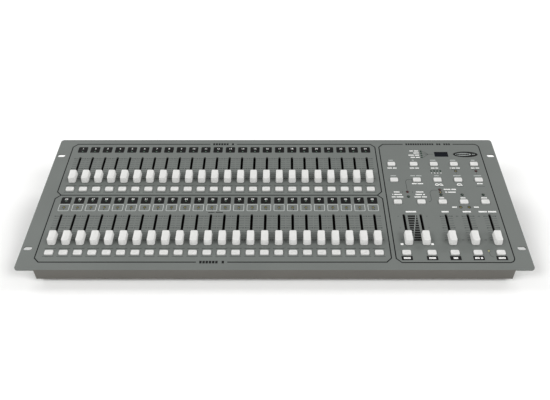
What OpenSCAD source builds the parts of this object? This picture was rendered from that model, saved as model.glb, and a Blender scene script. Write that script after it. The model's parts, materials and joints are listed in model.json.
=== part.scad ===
// Lighting control desk: a sloping steel console with two fader banks and a control section.
// Frame: +X to the operator's right, +Y away from the operator, +Z up, standing on its feet.
// Places on the panel are given as [u, v]: u from its left edge, v up the slope from its front edge.

/* [Panel] */
// Width of the panel over both rack ears
panel_w = 710; // [700:1:730]
// Depth of the panel, measured up the slope
panel_d = 266; // [264:1:280]
// Thickness of the panel's steel sheet
sheet_t = 2; // [1.5:0.5:2]
// Slope of the panel, in degrees
panel_tilt = 13; // [10:1:16]
// Height of the skirt folded down at the front
skirt_h = 20; // [20:1:30]
// Radius of the panel's corners
corner_r = 5; // [2:1:8]
// Length of a rack slot
rack_slot_l = 12; // [8:1:13]
// Width of a rack slot
rack_slot_w = 6.5; // [5:0.5:7]

/* [Case] */
// Width of the case between the ears
body_w = 657; // [655:1:665]
// Thickness of the base tray's sheet
tray_t = 1.5; // [1:0.5:2]
// How far the rear wall stands in from the panel's rear edge
rear_inset = 10; // [8:1:14]
// Height of the rubber feet
foot_h = 6; // [4:1:12]
// Radius of the rubber feet
foot_r = 9; // [7:1:12]

/* [Faders] */
// Number of channels in each preset bank
channels = 24; // [12:1:24]
// Distance between neighbouring channels
pitch = 20; // [19:0.5:20]
// Travel of a fader
travel = 45; // [30:1:45]
// Width of a fader cap at its top
cap_w = 10; // [8:0.5:11]
// Length of a fader cap at its top
cap_l = 18; // [14:0.5:18]
// Height of a fader cap
cap_h = 10; // [7:0.5:12]

/* [Buttons] */
// Width of a button
button_w = 12; // [10:0.5:12]
// Depth of a button
button_d = 8; // [6:0.5:8]
// How far a button stands out of the panel
button_proud = 2.5; // [1.5:0.5:4]
// Corner radius of a button
button_r = 1.8; // [0.5:0.1:2]

/* [Hidden] */
$fn = 48;
eps = 0.01;

// Colours
paint = "#787d79";
plastic_white = "#ebebe8";
board_green = "#1f5a36";
steel = "#b9bcbe";
black = "#1d1d1f";

// The panel's own frame: origin on its front edge, +Y up the slope, +Z out of its face.
front_y = -(panel_d * cos(panel_tilt) + sheet_t * sin(panel_tilt)) / 2;
front_z = foot_h + skirt_h * cos(panel_tilt);
function row_y(v, z) = front_y + v * cos(panel_tilt) - z * sin(panel_tilt);
function row_z(v, z) = front_z + v * sin(panel_tilt) + z * cos(panel_tilt);
// Height of the panel's underside above a given Y
function under_z(y) = front_z + (y - front_y) * tan(panel_tilt) - sheet_t / cos(panel_tilt);
function side(u) = u - panel_w / 2;
module in_panel() translate([0, front_y, front_z]) rotate([panel_tilt, 0, 0]) children();
module on_panel(at, z = 0) translate([side(at[0]), at[1], z]) children();

// Channel columns
first_u = 40.6;
group_of = 4;
bump_group = 8;
function channel_u(k) = first_u + pitch * k;

// Rows up the slope: a fader's row is its lever at the bottom of the travel
fader_row_a = 175.5;
fader_row_b = 52.5;
bump_row_a = 152.5;
bump_row_b = 29.5;
plate_led_a = 238;
plate_led_b = 128;
scene_led_row = 115;

// Control section
control_fader_u = [544, 568.8, 606, 638, 670];
control_button_u = [538.7, 574, 606, 638, 670];
mode_row = 208;
select_row = 172.5;
step_row = 126;
flash_row = 29.5;
display_at = [622, 231.25];
display_size = [22, 11.5];
green_led_at = [
    [556, 137], [606, 141], [638, 141], [670, 141], [590, 238.5], [590, 234], [590, 229], [590, 224],
    [599.5, 192.5], [604.3, 192.5], [609.1, 192.5], [613.9, 192.5]
];
yellow_led_at = [[638, 192.5], [606, 146.3], [631, 115.5], [643.5, 115.5], [654, 33]];
red_led_at = [[670, 192.5], [556, 147], [606, 151.6]];
channel_list = [for (k = [0:channels - 1]) k];
channel_green_at = concat(
    [for (k = channel_list) [channel_u(k), plate_led_a]],
    [for (k = channel_list) [channel_u(k), plate_led_b]]
);
channel_yellow_at = [for (k = channel_list) [channel_u(k), scene_led_row]];
all_green = concat(channel_green_at, green_led_at);
all_yellow = concat(channel_yellow_at, yellow_led_at);
all_leds = concat(all_green, all_yellow, red_led_at);
all_faders = concat(
    [for (k = channel_list) [channel_u(k), fader_row_a]],
    [for (k = channel_list) [channel_u(k), fader_row_b]],
    [for (u = control_fader_u) [u, fader_row_b]]
);
function button_row(row) = [for (u = control_button_u) [u, row]];
all_buttons = concat(
    [for (k = channel_list) [channel_u(k), bump_row_a]],
    [for (k = channel_list) [channel_u(k), bump_row_b]],
    button_row(mode_row), button_row(select_row), button_row(step_row), button_row(flash_row)
);

// Fader parts
slot_w = 4;
slot_l = travel + 8;
lever_w = 1.2;
lever_l = 4.5;
lever_in_cap = 7.5;
cap_fit = 0.03;
cap_gap = 1;
cap_flare_w = 0.2;
cap_flare_l = 1.25;
case_w = 9;
case_l = travel + 15;
case_h = 6;
case_wall = 0.8;
carriage = [5.6, 8, 2.6];
track_t = 1;

// Boards under the panel
board_gap = 14;
board_t = 1.6;
standoff_r = 2.25;
standoff_bore = 1.6;
screw_r = 1.25;
screw_head_r = 2.6;
screw_head_h = 1.8;
screw_grip = 5;
drive = [3.2, 0.7, 0.9];
preset_board_u = [29.5, 514];
control_board_u = [524.5, 681];
board_a_v = [143, 248];
board_b_v = [20, 135];
control_board_v = [14, 248.5];
preset_post_u = [31.6, 150, 270, 390, 510];
preset_posts_a = [for (u = preset_post_u, v = [160, 232]) [u, v]];
preset_posts_b = [for (u = preset_post_u, v = [38, 110]) [u, v]];
control_posts = [
    [529, 244], [529, 155], [529, 20], [622, 245], [590, 160], [590, 75], [590, 20],
    [678.6, 226], [678.6, 153], [678.6, 75], [654, 20]
];
all_posts = concat(preset_posts_a, preset_posts_b, control_posts);

// Switches and buttons
switch_size = 7;
switch_h = 4;
switch_well = 4.2;
switch_floor = 0.7;
stem_size = 3.2;
stem_end = -11.9;
button_skirt = -3.3;
flange_t = 1;
flange_extra = 2;
hole_gap = 0.4;

// LEDs
led_r = 1.5;
led_hole_r = 1.85;
led_base = -5;
led_proud = 0.5;
led_tip_r = 0.825;
spacer_r = 1.6;

// Case
rear_y = front_y + panel_d * cos(panel_tilt) - rear_inset;
inner_rear_y = rear_y - tray_t;
tray_gap = 0.1;
tray_front_v = sheet_t + tray_gap;
floor_z = foot_h + tray_t;
foot_x = 300;
foot_y = 100;
foot_bore = 2.2;
tab_v = [24, 140, 244];
rear_tab_x = [-290, -190, -60, 148, 314];
tab_w = 12;
tab_reach = 5;
tab_drop = 10;
tab_t = 1.5;
tab_hole_r = 1.6;
tab_screw_drop = 8;
rear_tab_drop = 12;

// Main board, on the floor of the tray
main_x = [-20, 306];
main_y = [inner_rear_y - 96, inner_rear_y - 24];
main_post_h = 8;
main_z = floor_z + main_post_h;
main_post_in = 8;
main_posts = [for (x = [-12, 143, 298], y = [main_y[0] + main_post_in, main_y[1] - main_post_in]) [x, y]];

// Rear connectors: X of each, and their common height
plug_z = 40;
rocker_x = 296;
inlet_x = 266;
dmx_x = [190, 230];
polarity_x = 158;
midi_x = [76, 102, 128];
remote_x = 44;
audio_x = [4, 20];
dmx_hole_r = 11.8;
dmx_barrel_r = 11.5;
dmx_flange = [26, 31, 2];
dmx_depth = 18;
dmx_insert_r = 8.2;
dmx_groove_r = 9.6;
dmx_screw = [9.5, 12];
midi_hole_r = 7.6;
midi_shell_r = 7.3;
midi_depth = 14;
phono_hole_r = 4.6;
phono_reach = 8.5;
jack_bore_r = 3.25;
jack_bush_r = 4.6;
jack_hole_r = 5;
inlet_hole_r = 4.2;
inlet_socket_r = 2.9;
inlet_pin_r = 1.05;
rocker_hole = [19.6, 13.2];
rocker_frame = [23, 17];
rocker_angle = 12;
slider_hole = [10, 5];
slider_knob = [4, 3];
slider_travel = 4;

// Outlines
module round_rect(w, d, r) {
    square([w - 2 * r, d], center = true);
    square([w, d - 2 * r], center = true);
    for (x = [-1, 1], y = [-1, 1]) translate([x * (w / 2 - r), y * (d / 2 - r)]) circle(r = r);
}
module slot_shape(l, w) {
    square([w, l - w], center = true);
    for (y = [-1, 1]) translate([0, y * (l - w) / 2]) circle(d = w);
}
// A side view [y, z] drawn along X, centred
module prism(points, width) translate([-width / 2, 0, 0])
    rotate([90, 0, 90]) linear_extrude(width) polygon(points);
// A cylinder along +Y that starts at the origin
module along_y(r, l) rotate([-90, 0, 0]) cylinder(r = r, h = l);
module at_rear(x, z = plug_z) translate([x, rear_y, z]) children();

// --- Panel ---------------------------------------------------------------------------------------
module panel_outline() {
    difference() {
        translate([0, panel_d / 2]) round_rect(panel_w, panel_d, corner_r);
        translate([-body_w / 2, -1]) square([body_w, sheet_t + 1]);
    }
}
module panel_holes() {
    for (at = all_faders) translate([side(at[0]), at[1] + travel / 2]) slot_shape(slot_l, slot_w);
    for (at = all_buttons) translate([side(at[0]), at[1]])
        round_rect(button_w + 2 * hole_gap, button_d + 2 * hole_gap, button_r + hole_gap);
    for (at = all_leds) translate([side(at[0]), at[1]]) circle(r = led_hole_r);
    translate([side(display_at[0]), display_at[1]]) square(display_size, center = true);
}
rack_slot_u = 8.75;
rack_slot_v = [37.75, 228.25];
module rack_slots() for (x = [-1, 1], v = rack_slot_v)
    translate([x * (panel_w / 2 - rack_slot_u), v]) rotate(90) slot_shape(rack_slot_l, rack_slot_w);
// The sheet turns down through a quarter circle between the ears
module fold_and_skirt() {
    intersection() {
        translate([-body_w / 2, sheet_t, -sheet_t]) rotate([0, 90, 0]) cylinder(r = sheet_t, h = body_w);
        translate([-body_w / 2, 0, -sheet_t]) cube([body_w, sheet_t, sheet_t]);
    }
    translate([-body_w / 2, 0, -skirt_h]) cube([body_w, sheet_t, skirt_h - sheet_t]);
}
module top_panel() color(paint) in_panel() {
    translate([0, 0, -sheet_t]) linear_extrude(sheet_t) difference() {
        panel_outline();
        panel_holes();
        rack_slots();
    }
    fold_and_skirt();
}

// --- Base tray -----------------------------------------------------------------------------------
// Side view of the space under the panel, a distance t inside the tray's outer faces
function foot_of_front(t) = -(skirt_h - t / cos(panel_tilt)) - (tray_front_v + t) * tan(panel_tilt);
function tray_side(t, rise) = [
    [row_y(tray_front_v + t, foot_of_front(t)), foot_h + t],
    [row_y(tray_front_v + t, -sheet_t), row_z(tray_front_v + t, -sheet_t) + rise],
    [rear_y - t, under_z(rear_y - t) + rise],
    [rear_y - t, foot_h + t]
];
open_rise = 20;
module base_tray() color(paint) difference() {
    prism(tray_side(0, 0), body_w);
    prism(tray_side(tray_t, open_rise), body_w - 2 * tray_t);
    rear_cutouts();
    tab_screw_holes();
    four_feet() cylinder(r = foot_bore, h = floor_z + 1);
    for (at = main_posts) translate([at[0], at[1], 0]) cylinder(r = standoff_bore, h = floor_z + 1);
}
cut_l = tray_t + 2;
module rear_cutouts() translate([0, -tray_t - 1, 0]) {
    for (x = dmx_x) at_rear(x) along_y(dmx_hole_r, cut_l);
    for (x = dmx_x, s = [-1, 1])
        at_rear(x + s * dmx_screw[0], plug_z - s * dmx_screw[1]) along_y(tab_hole_r, cut_l);
    for (x = midi_x) at_rear(x) along_y(midi_hole_r, cut_l);
    for (x = audio_x) at_rear(x) along_y(phono_hole_r, cut_l);
    at_rear(remote_x) along_y(jack_hole_r, cut_l);
    at_rear(inlet_x) along_y(inlet_hole_r, cut_l);
    at_rear(rocker_x) translate([-rocker_hole[0] / 2, 0, -rocker_hole[1] / 2])
        cube([rocker_hole[0], cut_l, rocker_hole[1]]);
    at_rear(polarity_x) translate([-slider_hole[0] / 2, 0, -slider_hole[1] / 2])
        cube([slider_hole[0], cut_l, slider_hole[1]]);
}

// --- Tabs under the panel, and the screws through the tray into them ---------------------------------
inner_half = body_w / 2 - tray_t;
rear_tab_z = under_z(inner_rear_y) - tab_screw_drop;
module side_tab() {
    translate([0, -tab_w / 2, -sheet_t - tab_t]) cube([tab_reach, tab_w, tab_t]);
    difference() {
        translate([0, -tab_w / 2, -sheet_t - tab_drop]) cube([tab_t, tab_w, tab_drop]);
        translate([-1, 0, -tab_screw_drop]) rotate([0, 90, 0]) cylinder(r = tab_hole_r, h = tab_t + 2);
    }
}
module rear_tab() difference() {
    prism([
        [inner_rear_y, under_z(inner_rear_y)],
        [inner_rear_y, under_z(inner_rear_y) - rear_tab_drop],
        [inner_rear_y - tab_t, under_z(inner_rear_y) - rear_tab_drop],
        [inner_rear_y - tab_t, under_z(inner_rear_y - tab_t) - tab_t],
        [inner_rear_y - tab_reach, under_z(inner_rear_y - tab_reach) - tab_t],
        [inner_rear_y - tab_reach, under_z(inner_rear_y - tab_reach)]
    ], tab_w);
    translate([0, inner_rear_y - tab_t - 1, rear_tab_z]) along_y(tab_hole_r, tab_t + 2);
}
module mounting_tabs() color(steel) {
    in_panel() for (m = [0, 1], v = tab_v) mirror([m, 0, 0]) translate([-inner_half, v, 0]) side_tab();
    for (x = rear_tab_x) translate([x, 0, 0]) rear_tab();
}
module tab_screw_holes() {
    in_panel() for (m = [0, 1], v = tab_v) mirror([m, 0, 0])
        translate([-body_w / 2 - 1, v, -tab_screw_drop]) rotate([0, 90, 0])
            cylinder(r = tab_hole_r, h = tray_t + 2);
    for (x = rear_tab_x) translate([x, inner_rear_y - 1, rear_tab_z]) along_y(tab_hole_r, tray_t + 2);
}
// A pan head screw that points down from the origin
module screw(grip) {
    difference() {
        cylinder(r = screw_head_r, h = screw_head_h);
        for (a = [0, 90]) rotate(a) translate([-drive[0] / 2, -drive[1] / 2, screw_head_h - drive[2]])
            cube([drive[0], drive[1], drive[2] + 1]);
    }
    translate([0, 0, -grip]) cylinder(r = screw_r, h = grip + eps);
}
case_grip = 5;
module case_screws() color(black) {
    in_panel() for (m = [0, 1], v = tab_v) mirror([m, 0, 0])
        translate([-body_w / 2, v, -tab_screw_drop]) rotate([0, -90, 0]) screw(case_grip);
    for (x = rear_tab_x) translate([x, rear_y, rear_tab_z]) rotate([-90, 0, 0]) screw(case_grip);
    for (x = dmx_x, s = [-1, 1]) at_rear(x + s * dmx_screw[0], plug_z - s * dmx_screw[1])
        translate([0, dmx_flange[2], 0]) rotate([-90, 0, 0]) screw(case_grip);
}

// --- Feet ----------------------------------------------------------------------------------------
foot_well = 2.6;
foot_screw_r = 1.9;
foot_head_r = 3.6;
foot_head_h = 1.6;
foot_well_r = 4.1;
foot_taper = 1;
nut_r = 4;
nut_h = 2.4;
nut_bore = 2.05;
screw_past_floor = 2;
module four_feet() for (x = [-1, 1], y = [-1, 1]) translate([x * foot_x, y * foot_y, 0]) children();
module rubber_feet() color(black) four_feet() difference() {
    union() {
        cylinder(r1 = foot_r - foot_taper, r2 = foot_r, h = foot_h / 2);
        translate([0, 0, foot_h / 2]) cylinder(r = foot_r, h = foot_h / 2);
    }
    translate([0, 0, -1]) cylinder(r = foot_well_r, h = foot_well + 1);
    cylinder(r = foot_bore, h = foot_h + 1);
}
module foot_screws() color(steel) four_feet() {
    translate([0, 0, foot_well - foot_head_h]) cylinder(r = foot_head_r, h = foot_head_h);
    translate([0, 0, foot_well - eps]) cylinder(r = foot_screw_r, h = floor_z - foot_well + screw_past_floor);
    translate([0, 0, floor_z]) difference() {
        cylinder(r = nut_r, h = nut_h, $fn = 6);
        translate([0, 0, -1]) cylinder(r = nut_bore, h = nut_h + 2);
    }
}

// --- Boards --------------------------------------------------------------------------------------
module panel_board(u, v, posts) color(board_green) in_panel() difference() {
    translate([side(u[0]), v[0], -board_gap - board_t]) cube([u[1] - u[0], v[1] - v[0], board_t]);
    for (at = posts) on_panel(at, -board_gap - board_t - 1) cylinder(r = standoff_bore, h = board_t + 2);
}
module preset_a_board() panel_board(preset_board_u, board_a_v, preset_posts_a);
module preset_b_board() panel_board(preset_board_u, board_b_v, preset_posts_b);
module control_board() panel_board(control_board_u, control_board_v, control_posts);
module main_board() color(board_green) difference() {
    translate([main_x[0], main_y[0], main_z])
        cube([main_x[1] - main_x[0], main_y[1] - main_y[0], board_t]);
    for (at = main_posts) translate([at[0], at[1], main_z - 1]) cylinder(r = standoff_bore, h = board_t + 2);
}
module standoff(h) difference() {
    cylinder(r = standoff_r, h = h);
    translate([0, 0, -1]) cylinder(r = standoff_bore, h = h + 2);
}
module board_standoffs() color(steel) {
    in_panel() for (at = all_posts) on_panel(at, -board_gap) standoff(board_gap - sheet_t);
    for (at = main_posts) translate([at[0], at[1], floor_z]) standoff(main_post_h);
}
module board_screws() color(steel) {
    in_panel() for (at = all_posts) on_panel(at, -board_gap - board_t) rotate([180, 0, 0]) screw(screw_grip);
    for (at = main_posts) translate([at[0], at[1], main_z + board_t]) screw(screw_grip);
}

// --- Slide potentiometers --------------------------------------------------------------------------
module fader_case() difference() {
    translate([-case_w / 2, -case_l / 2, 0]) cube([case_w, case_l, case_h]);
    translate([-case_w / 2 + case_wall, -case_l / 2 + case_wall, -1])
        cube([case_w - 2 * case_wall, case_l - 2 * case_wall, case_h - case_wall + 1]);
    translate([-slot_w / 2, -slot_l / 2, 0]) cube([slot_w, slot_l, case_h + 1]);
}
module fader_cases() color(steel) in_panel()
    for (at = all_faders) on_panel([at[0], at[1] + travel / 2], -board_gap + track_t) fader_case();
module fader_tracks() color("#7a4a25") in_panel()
    for (at = all_faders) on_panel([at[0], at[1] + travel / 2], -board_gap)
        translate([-case_w / 2, -case_l / 2, 0]) cube([case_w, case_l, track_t]);

// --- Fader caps and levers -------------------------------------------------------------------------
carriage_clear = 0.4;
carriage_z = -board_gap + track_t + carriage_clear;
module lever() color(steel) {
    translate([-carriage[0] / 2, -carriage[1] / 2, carriage_z]) cube(carriage);
    translate([-lever_w / 2, -lever_l / 2, carriage_z + carriage[2] - eps])
        cube([lever_w, lever_l, cap_gap + lever_in_cap - carriage_z - carriage[2] + eps]);
}
// The cap's side view: size across at the top, wider by the flare at the panel
function cap_side(across, flare) = [
    [-across / 2 - flare, cap_gap], [across / 2 + flare, cap_gap],
    [across / 2, cap_gap + cap_h], [-across / 2, cap_gap + cap_h]
];
module cap() color(plastic_white) difference() {
    intersection() {
        prism(cap_side(cap_l, cap_flare_l), 2 * cap_w);
        rotate(90) prism(cap_side(cap_w, cap_flare_w), 2 * cap_l);
    }
    translate([-lever_w / 2 - cap_fit, -lever_l / 2 - cap_fit, cap_gap - 1])
        cube([lever_w + 2 * cap_fit, lever_l + 2 * cap_fit, lever_in_cap + cap_fit + 1]);
}
module fader(at) in_panel() on_panel(at) {
    lever();
    cap();
}
module fader_group(row, group)
    for (k = [group * group_of:(group + 1) * group_of - 1]) fader([channel_u(k), row]);

// --- Buttons and their switches --------------------------------------------------------------------
module button_cap() {
    translate([0, 0, button_skirt + flange_t - eps])
        linear_extrude(button_proud - button_skirt - flange_t + eps) round_rect(button_w, button_d, button_r);
    translate([-(button_w + flange_extra) / 2, -(button_d + flange_extra) / 2, button_skirt])
        cube([button_w + flange_extra, button_d + flange_extra, flange_t]);
    translate([-stem_size / 2, -stem_size / 2, stem_end])
        cube([stem_size, stem_size, button_skirt - stem_end + eps]);
}
module buttons(list) color(plastic_white) in_panel() for (at = list) on_panel(at) button_cap();
module bump_group_at(row, group)
    buttons([for (k = [group * bump_group:(group + 1) * bump_group - 1]) [channel_u(k), row]]);
module switch_housings() color(black) in_panel() for (at = all_buttons) on_panel(at, -board_gap) difference() {
    translate([-switch_size / 2, -switch_size / 2, 0]) cube([switch_size, switch_size, switch_h]);
    translate([-switch_well / 2, -switch_well / 2, switch_floor]) cube([switch_well, switch_well, switch_h]);
}

// --- LEDs and display ------------------------------------------------------------------------------
module led() {
    translate([0, 0, led_base]) cylinder(r = led_r, h = led_proud - led_base - led_r / 2);
    translate([0, 0, led_proud - led_r / 2 - eps]) cylinder(r1 = led_r, r2 = led_tip_r, h = led_r / 2);
}
module leds(list, colour) color(colour) in_panel() for (at = list) on_panel(at) led();
module led_spacers() color(black) in_panel()
    for (at = all_leds) on_panel(at, -board_gap) cylinder(r = spacer_r, h = led_base + board_gap);
window_gap = 0.2;
window_lip = 2;
lip_t = 1;
module display_window() color("#10141f") in_panel() on_panel(display_at) {
    translate([-display_size[0] / 2 + window_gap, -display_size[1] / 2 + window_gap, -sheet_t - eps])
        cube([display_size[0] - 2 * window_gap, display_size[1] - 2 * window_gap, sheet_t - window_gap + eps]);
    translate([-display_size[0] / 2 - window_lip, -display_size[1] / 2 - window_lip, -sheet_t - lip_t])
        cube([display_size[0] + 2 * window_lip, display_size[1] + 2 * window_lip, lip_t]);
}
module_size = [24, 14, 10];
module display_module() color(black) in_panel() on_panel(display_at, -board_gap)
    translate([-module_size[0] / 2, -module_size[1] / 2, 0]) cube(module_size);

// --- Wiring and parts on the main board ---------------------------------------------------------------
header = [24, 8, 6];
ribbon_w = 20;
ribbon_t = 1;
under_board = -board_gap - board_t;
bridge_u = [495, 540];
bridge_drop = 12;
bridge_v = [90, 185];
module bridge(v) translate([0, v, 0]) {
    for (u = bridge_u) translate([side(u), 0, under_board - header[2]])
        translate([-header[1] / 2, -header[0] / 2, 0]) cube([header[1], header[0], header[2]]);
    translate([0, ribbon_w / 2, 0]) rotate([90, 0, 0]) linear_extrude(ribbon_w) difference() {
        translate([side(bridge_u[0]) - ribbon_t / 2, under_board - bridge_drop])
            square([bridge_u[1] - bridge_u[0] + ribbon_t, bridge_drop - header[2]]);
        translate([side(bridge_u[0]) + ribbon_t / 2, under_board - bridge_drop + ribbon_t])
            square([bridge_u[1] - bridge_u[0] - ribbon_t, bridge_drop]);
    }
}
drop_at = [560, 205];
drop_y = row_y(drop_at[1], under_board);
module ribbon_cables() color("#8f9498") {
    in_panel() for (v = bridge_v) bridge(v);
    translate([side(drop_at[0]), drop_y, 0]) {
        translate([-header[0] / 2, -header[1] / 2, main_z + board_t]) cube(header);
        translate([-ribbon_w / 2, -ribbon_t / 2, main_z + board_t + header[2]])
            cube([ribbon_w, ribbon_t, row_z(drop_at[1], under_board) - main_z - board_t - 2 * header[2]]);
        translate([-header[0] / 2, -header[1] / 2, row_z(drop_at[1], under_board) - header[2] - 1])
            cube([header[0], header[1], header[2] - 1]);
    }
}
chip_h = 3.5;
chip_y = main_y[0] + 30;
chips = [
    [40, 0, 52, 14],
    [100, 0, 36, 14],
    [60, 22, 20, 8],
    [92, 22, 20, 8],
    [124, 22, 10, 8],
    [150, 0, 14, 14]
];
module controller_chips() color(black) for (c = chips)
    translate([c[0] - c[2] / 2, chip_y + c[1] - c[3] / 2, main_z + board_t]) cube([c[2], c[3], chip_h]);
can_r = 6.5;
can_h = 20;
can_x = [232, 284];
can_y = main_y[0] + 22;
sink = [26, 10, 24];
fin_t = 1.5;
fins = 5;
sink_at = [262, main_y[0] + 24];
regulator = [10, 4.5, 18];
module power_supply_parts() {
    color("#2b3a66") for (x = can_x) translate([x, can_y, main_z + board_t])
        cylinder(r = can_r, h = can_h);
    color(steel) translate([sink_at[0] - sink[0] / 2, sink_at[1], main_z + board_t]) {
        cube([sink[0], fin_t, sink[2]]);
        for (k = [0:fins - 1]) translate([k * (sink[0] - fin_t) / (fins - 1), fin_t - eps, 0])
            cube([fin_t, sink[1], sink[2]]);
    }
    color(black) translate([sink_at[0] - regulator[0] / 2, sink_at[1] - regulator[1], main_z + board_t])
        cube(regulator);
}

// --- Rear connectors -------------------------------------------------------------------------------
dmx_pins = [3, 5];
dmx_pin_ring = 4.8;
dmx_pin_r = 1.3;
dmx_pin_spread = [220, 240];
dmx_floor = 3;
dmx_pin_depth = 13;
function arc_pins(n, spread) = [for (k = [0:n - 1]) -spread / 2 + k * spread / (n - 1)];
module pin_holes(n, spread, ring, r, l) for (a = arc_pins(n, spread))
    translate([ring * sin(a), -l, -ring * cos(a)]) along_y(r, l + 1);
module dmx_socket(pins, spread) {
    difference() {
        union() {
            translate([-dmx_flange[0] / 2, 0, -dmx_flange[1] / 2])
                cube([dmx_flange[0], dmx_flange[2], dmx_flange[1]]);
            translate([0, -dmx_depth, 0]) along_y(dmx_barrel_r, dmx_depth + eps);
        }
        difference() {
            translate([0, -dmx_depth + dmx_floor, 0]) along_y(dmx_groove_r, dmx_depth + dmx_floor);
            translate([0, -dmx_depth, 0]) along_y(dmx_insert_r, dmx_depth);
        }
        pin_holes(pins, spread, dmx_pin_ring, dmx_pin_r, dmx_pin_depth);
        for (s = [-1, 1])
            translate([s * dmx_screw[0], -1, -s * dmx_screw[1]]) along_y(tab_hole_r, dmx_flange[2] + 2);
    }
}
module dmx_outputs() color(black)
    for (k = [0, 1]) at_rear(dmx_x[k]) dmx_socket(dmx_pins[k], dmx_pin_spread[k]);
midi_lip = 0.8;
midi_body = [20, 13.8, 20];
midi_well_r = 6.7;
midi_well = 8;
midi_insert_r = 5.6;
midi_pin_ring = 3.7;
midi_pin_r = 0.9;
midi_pin_depth = 7;
module midi_sockets() color(black) for (x = midi_x) at_rear(x) difference() {
    union() {
        translate([0, -tray_t - midi_depth, 0]) along_y(midi_shell_r, tray_t + midi_depth + midi_lip);
        translate([-midi_body[0] / 2, -tray_t - midi_depth, -midi_body[2] / 2]) cube(midi_body);
    }
    difference() {
        translate([0, -midi_well, 0]) along_y(midi_well_r, midi_well + 2);
        translate([0, -midi_well - 1, 0]) along_y(midi_insert_r, midi_well + 1);
    }
    pin_holes(5, 180, midi_pin_ring, midi_pin_r, midi_pin_depth);
}
wall_gap = 0.2;
phono_body = [32, 9.8, 12];
phono_shell_r = 4.15;
phono_well_r = 3.4;
phono_insert_r = 2.8;
phono_bore_r = 1.6;
phono_insert_back = 0.5;
module audio_inputs() {
    color(black) at_rear((audio_x[0] + audio_x[1]) / 2)
        translate([-phono_body[0] / 2, -tray_t - wall_gap - phono_body[1], -phono_body[2] / 2])
            cube(phono_body);
    color(steel) for (x = audio_x) at_rear(x) difference() {
        translate([0, -tray_t - wall_gap, 0]) along_y(phono_shell_r, phono_reach + tray_t + wall_gap);
        translate([0, -tray_t, 0]) along_y(phono_well_r, phono_reach + tray_t + 1);
    }
    color("#d8d8d4") for (x = audio_x) at_rear(x) difference() {
        translate([0, -tray_t, 0]) along_y(phono_insert_r, phono_reach + tray_t - phono_insert_back);
        along_y(phono_bore_r, phono_reach + 1);
    }
}
jack_reach = 3;
jack_bore_l = 8;
jack_body = [16, 23.8, 16];
jack_nut_r = 7;
jack_nut_t = 2;
jack_nut_bore = 4.7;
module remote_jack() at_rear(remote_x) {
    color(black) difference() {
        union() {
            translate([0, -tray_t - wall_gap, 0]) along_y(jack_bush_r, tray_t + jack_reach + wall_gap);
            translate([-jack_body[0] / 2, -tray_t - wall_gap - jack_body[1], -jack_body[2] / 2])
                cube(jack_body);
        }
        translate([0, jack_reach - jack_bore_l, 0]) along_y(jack_bore_r, jack_bore_l + 1);
    }
    color(steel) rotate([-90, 0, 0]) difference() {
        cylinder(r = jack_nut_r, h = jack_nut_t, $fn = 6);
        translate([0, 0, -1]) cylinder(r = jack_nut_bore, h = jack_nut_t + 2);
    }
}
inlet_neck_r = 3.9;
inlet_proud = 0.7;
inlet_body = [9.6, 12.8, 11];
inlet_socket_l = 9.5;
inlet_pin_l = 9;
module power_inlet() color(black) at_rear(inlet_x) {
    difference() {
        union() {
            translate([0, -tray_t - wall_gap, 0]) along_y(inlet_neck_r, tray_t + wall_gap + inlet_proud);
            translate([-inlet_body[0] / 2, -tray_t - wall_gap - inlet_body[1], -inlet_body[2] / 2])
                cube(inlet_body);
        }
        translate([0, -inlet_socket_l, 0]) along_y(inlet_socket_r, inlet_socket_l + 1);
    }
    translate([0, -inlet_socket_l - eps, 0]) along_y(inlet_pin_r, inlet_pin_l);
}

// --- Rear switches ---------------------------------------------------------------------------------
bezel_t = 1.5;
rocker_opening = [20.8, 11.6];
rocker_well_w = 18.2;
opening_floor = 0.3;
frame_floor = 2;
frame_gap = 0.1;
frame_depth = 13;
rocker_d = 11;
pivot_r = 1;
pivot_hole_r = 1.05;
pivot_reach = 0.5;
pivot_hole_z = 6;
pivot_hole_l = 1.6;
module power_switch_frame() color(black) at_rear(rocker_x) difference() {
    union() {
        translate([-rocker_frame[0] / 2, 0, -rocker_frame[1] / 2])
            cube([rocker_frame[0], bezel_t, rocker_frame[1]]);
        translate([-rocker_hole[0] / 2 + frame_gap, -frame_depth, -rocker_hole[1] / 2 + frame_gap])
            cube([rocker_hole[0] - 2 * frame_gap, frame_depth + eps, rocker_hole[1] - 2 * frame_gap]);
    }
    translate([-rocker_well_w / 2, -frame_depth + frame_floor, -rocker_opening[1] / 2])
        cube([rocker_well_w, frame_depth + bezel_t, rocker_opening[1]]);
    translate([-rocker_opening[0] / 2, opening_floor, -rocker_opening[1] / 2])
        cube([rocker_opening[0], bezel_t, rocker_opening[1]]);
    for (z = [-1, 1]) translate([0, rocker_pivot, z * pivot_hole_z])
        cylinder(r = pivot_hole_r, h = pivot_hole_l, center = true);
}
rocker_pivot = -2;
rocker_side = [[-8, 5], [0, 3.6], [8, 5], [6.2, -4.5], [-6.2, -4.5]];
module power_rocker() color("#26262a")
    at_rear(rocker_x) translate([0, rocker_pivot, 0]) rotate(-rocker_angle) {
    translate([0, 0, -rocker_d / 2]) linear_extrude(rocker_d) polygon(rocker_side);
    cylinder(r = pivot_r, h = rocker_d + 2 * pivot_reach, center = true);
}
slider_frame = [14, 8, 6];
slider_well = 4;
slider_reach = 3.5;
slider_play = 0.5;
slider_proud = 1.5;
module polarity_switch_frame() color(black) at_rear(polarity_x) difference() {
    translate([-slider_frame[0] / 2, -tray_t - slider_frame[2], -slider_frame[1] / 2])
        cube([slider_frame[0], slider_frame[2], slider_frame[1]]);
    translate([-slider_hole[0] / 2, -tray_t - slider_well, -slider_knob[1] / 2 - slider_play])
        cube([slider_hole[0], slider_well + 1, slider_knob[1] + 2 * slider_play]);
}
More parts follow.
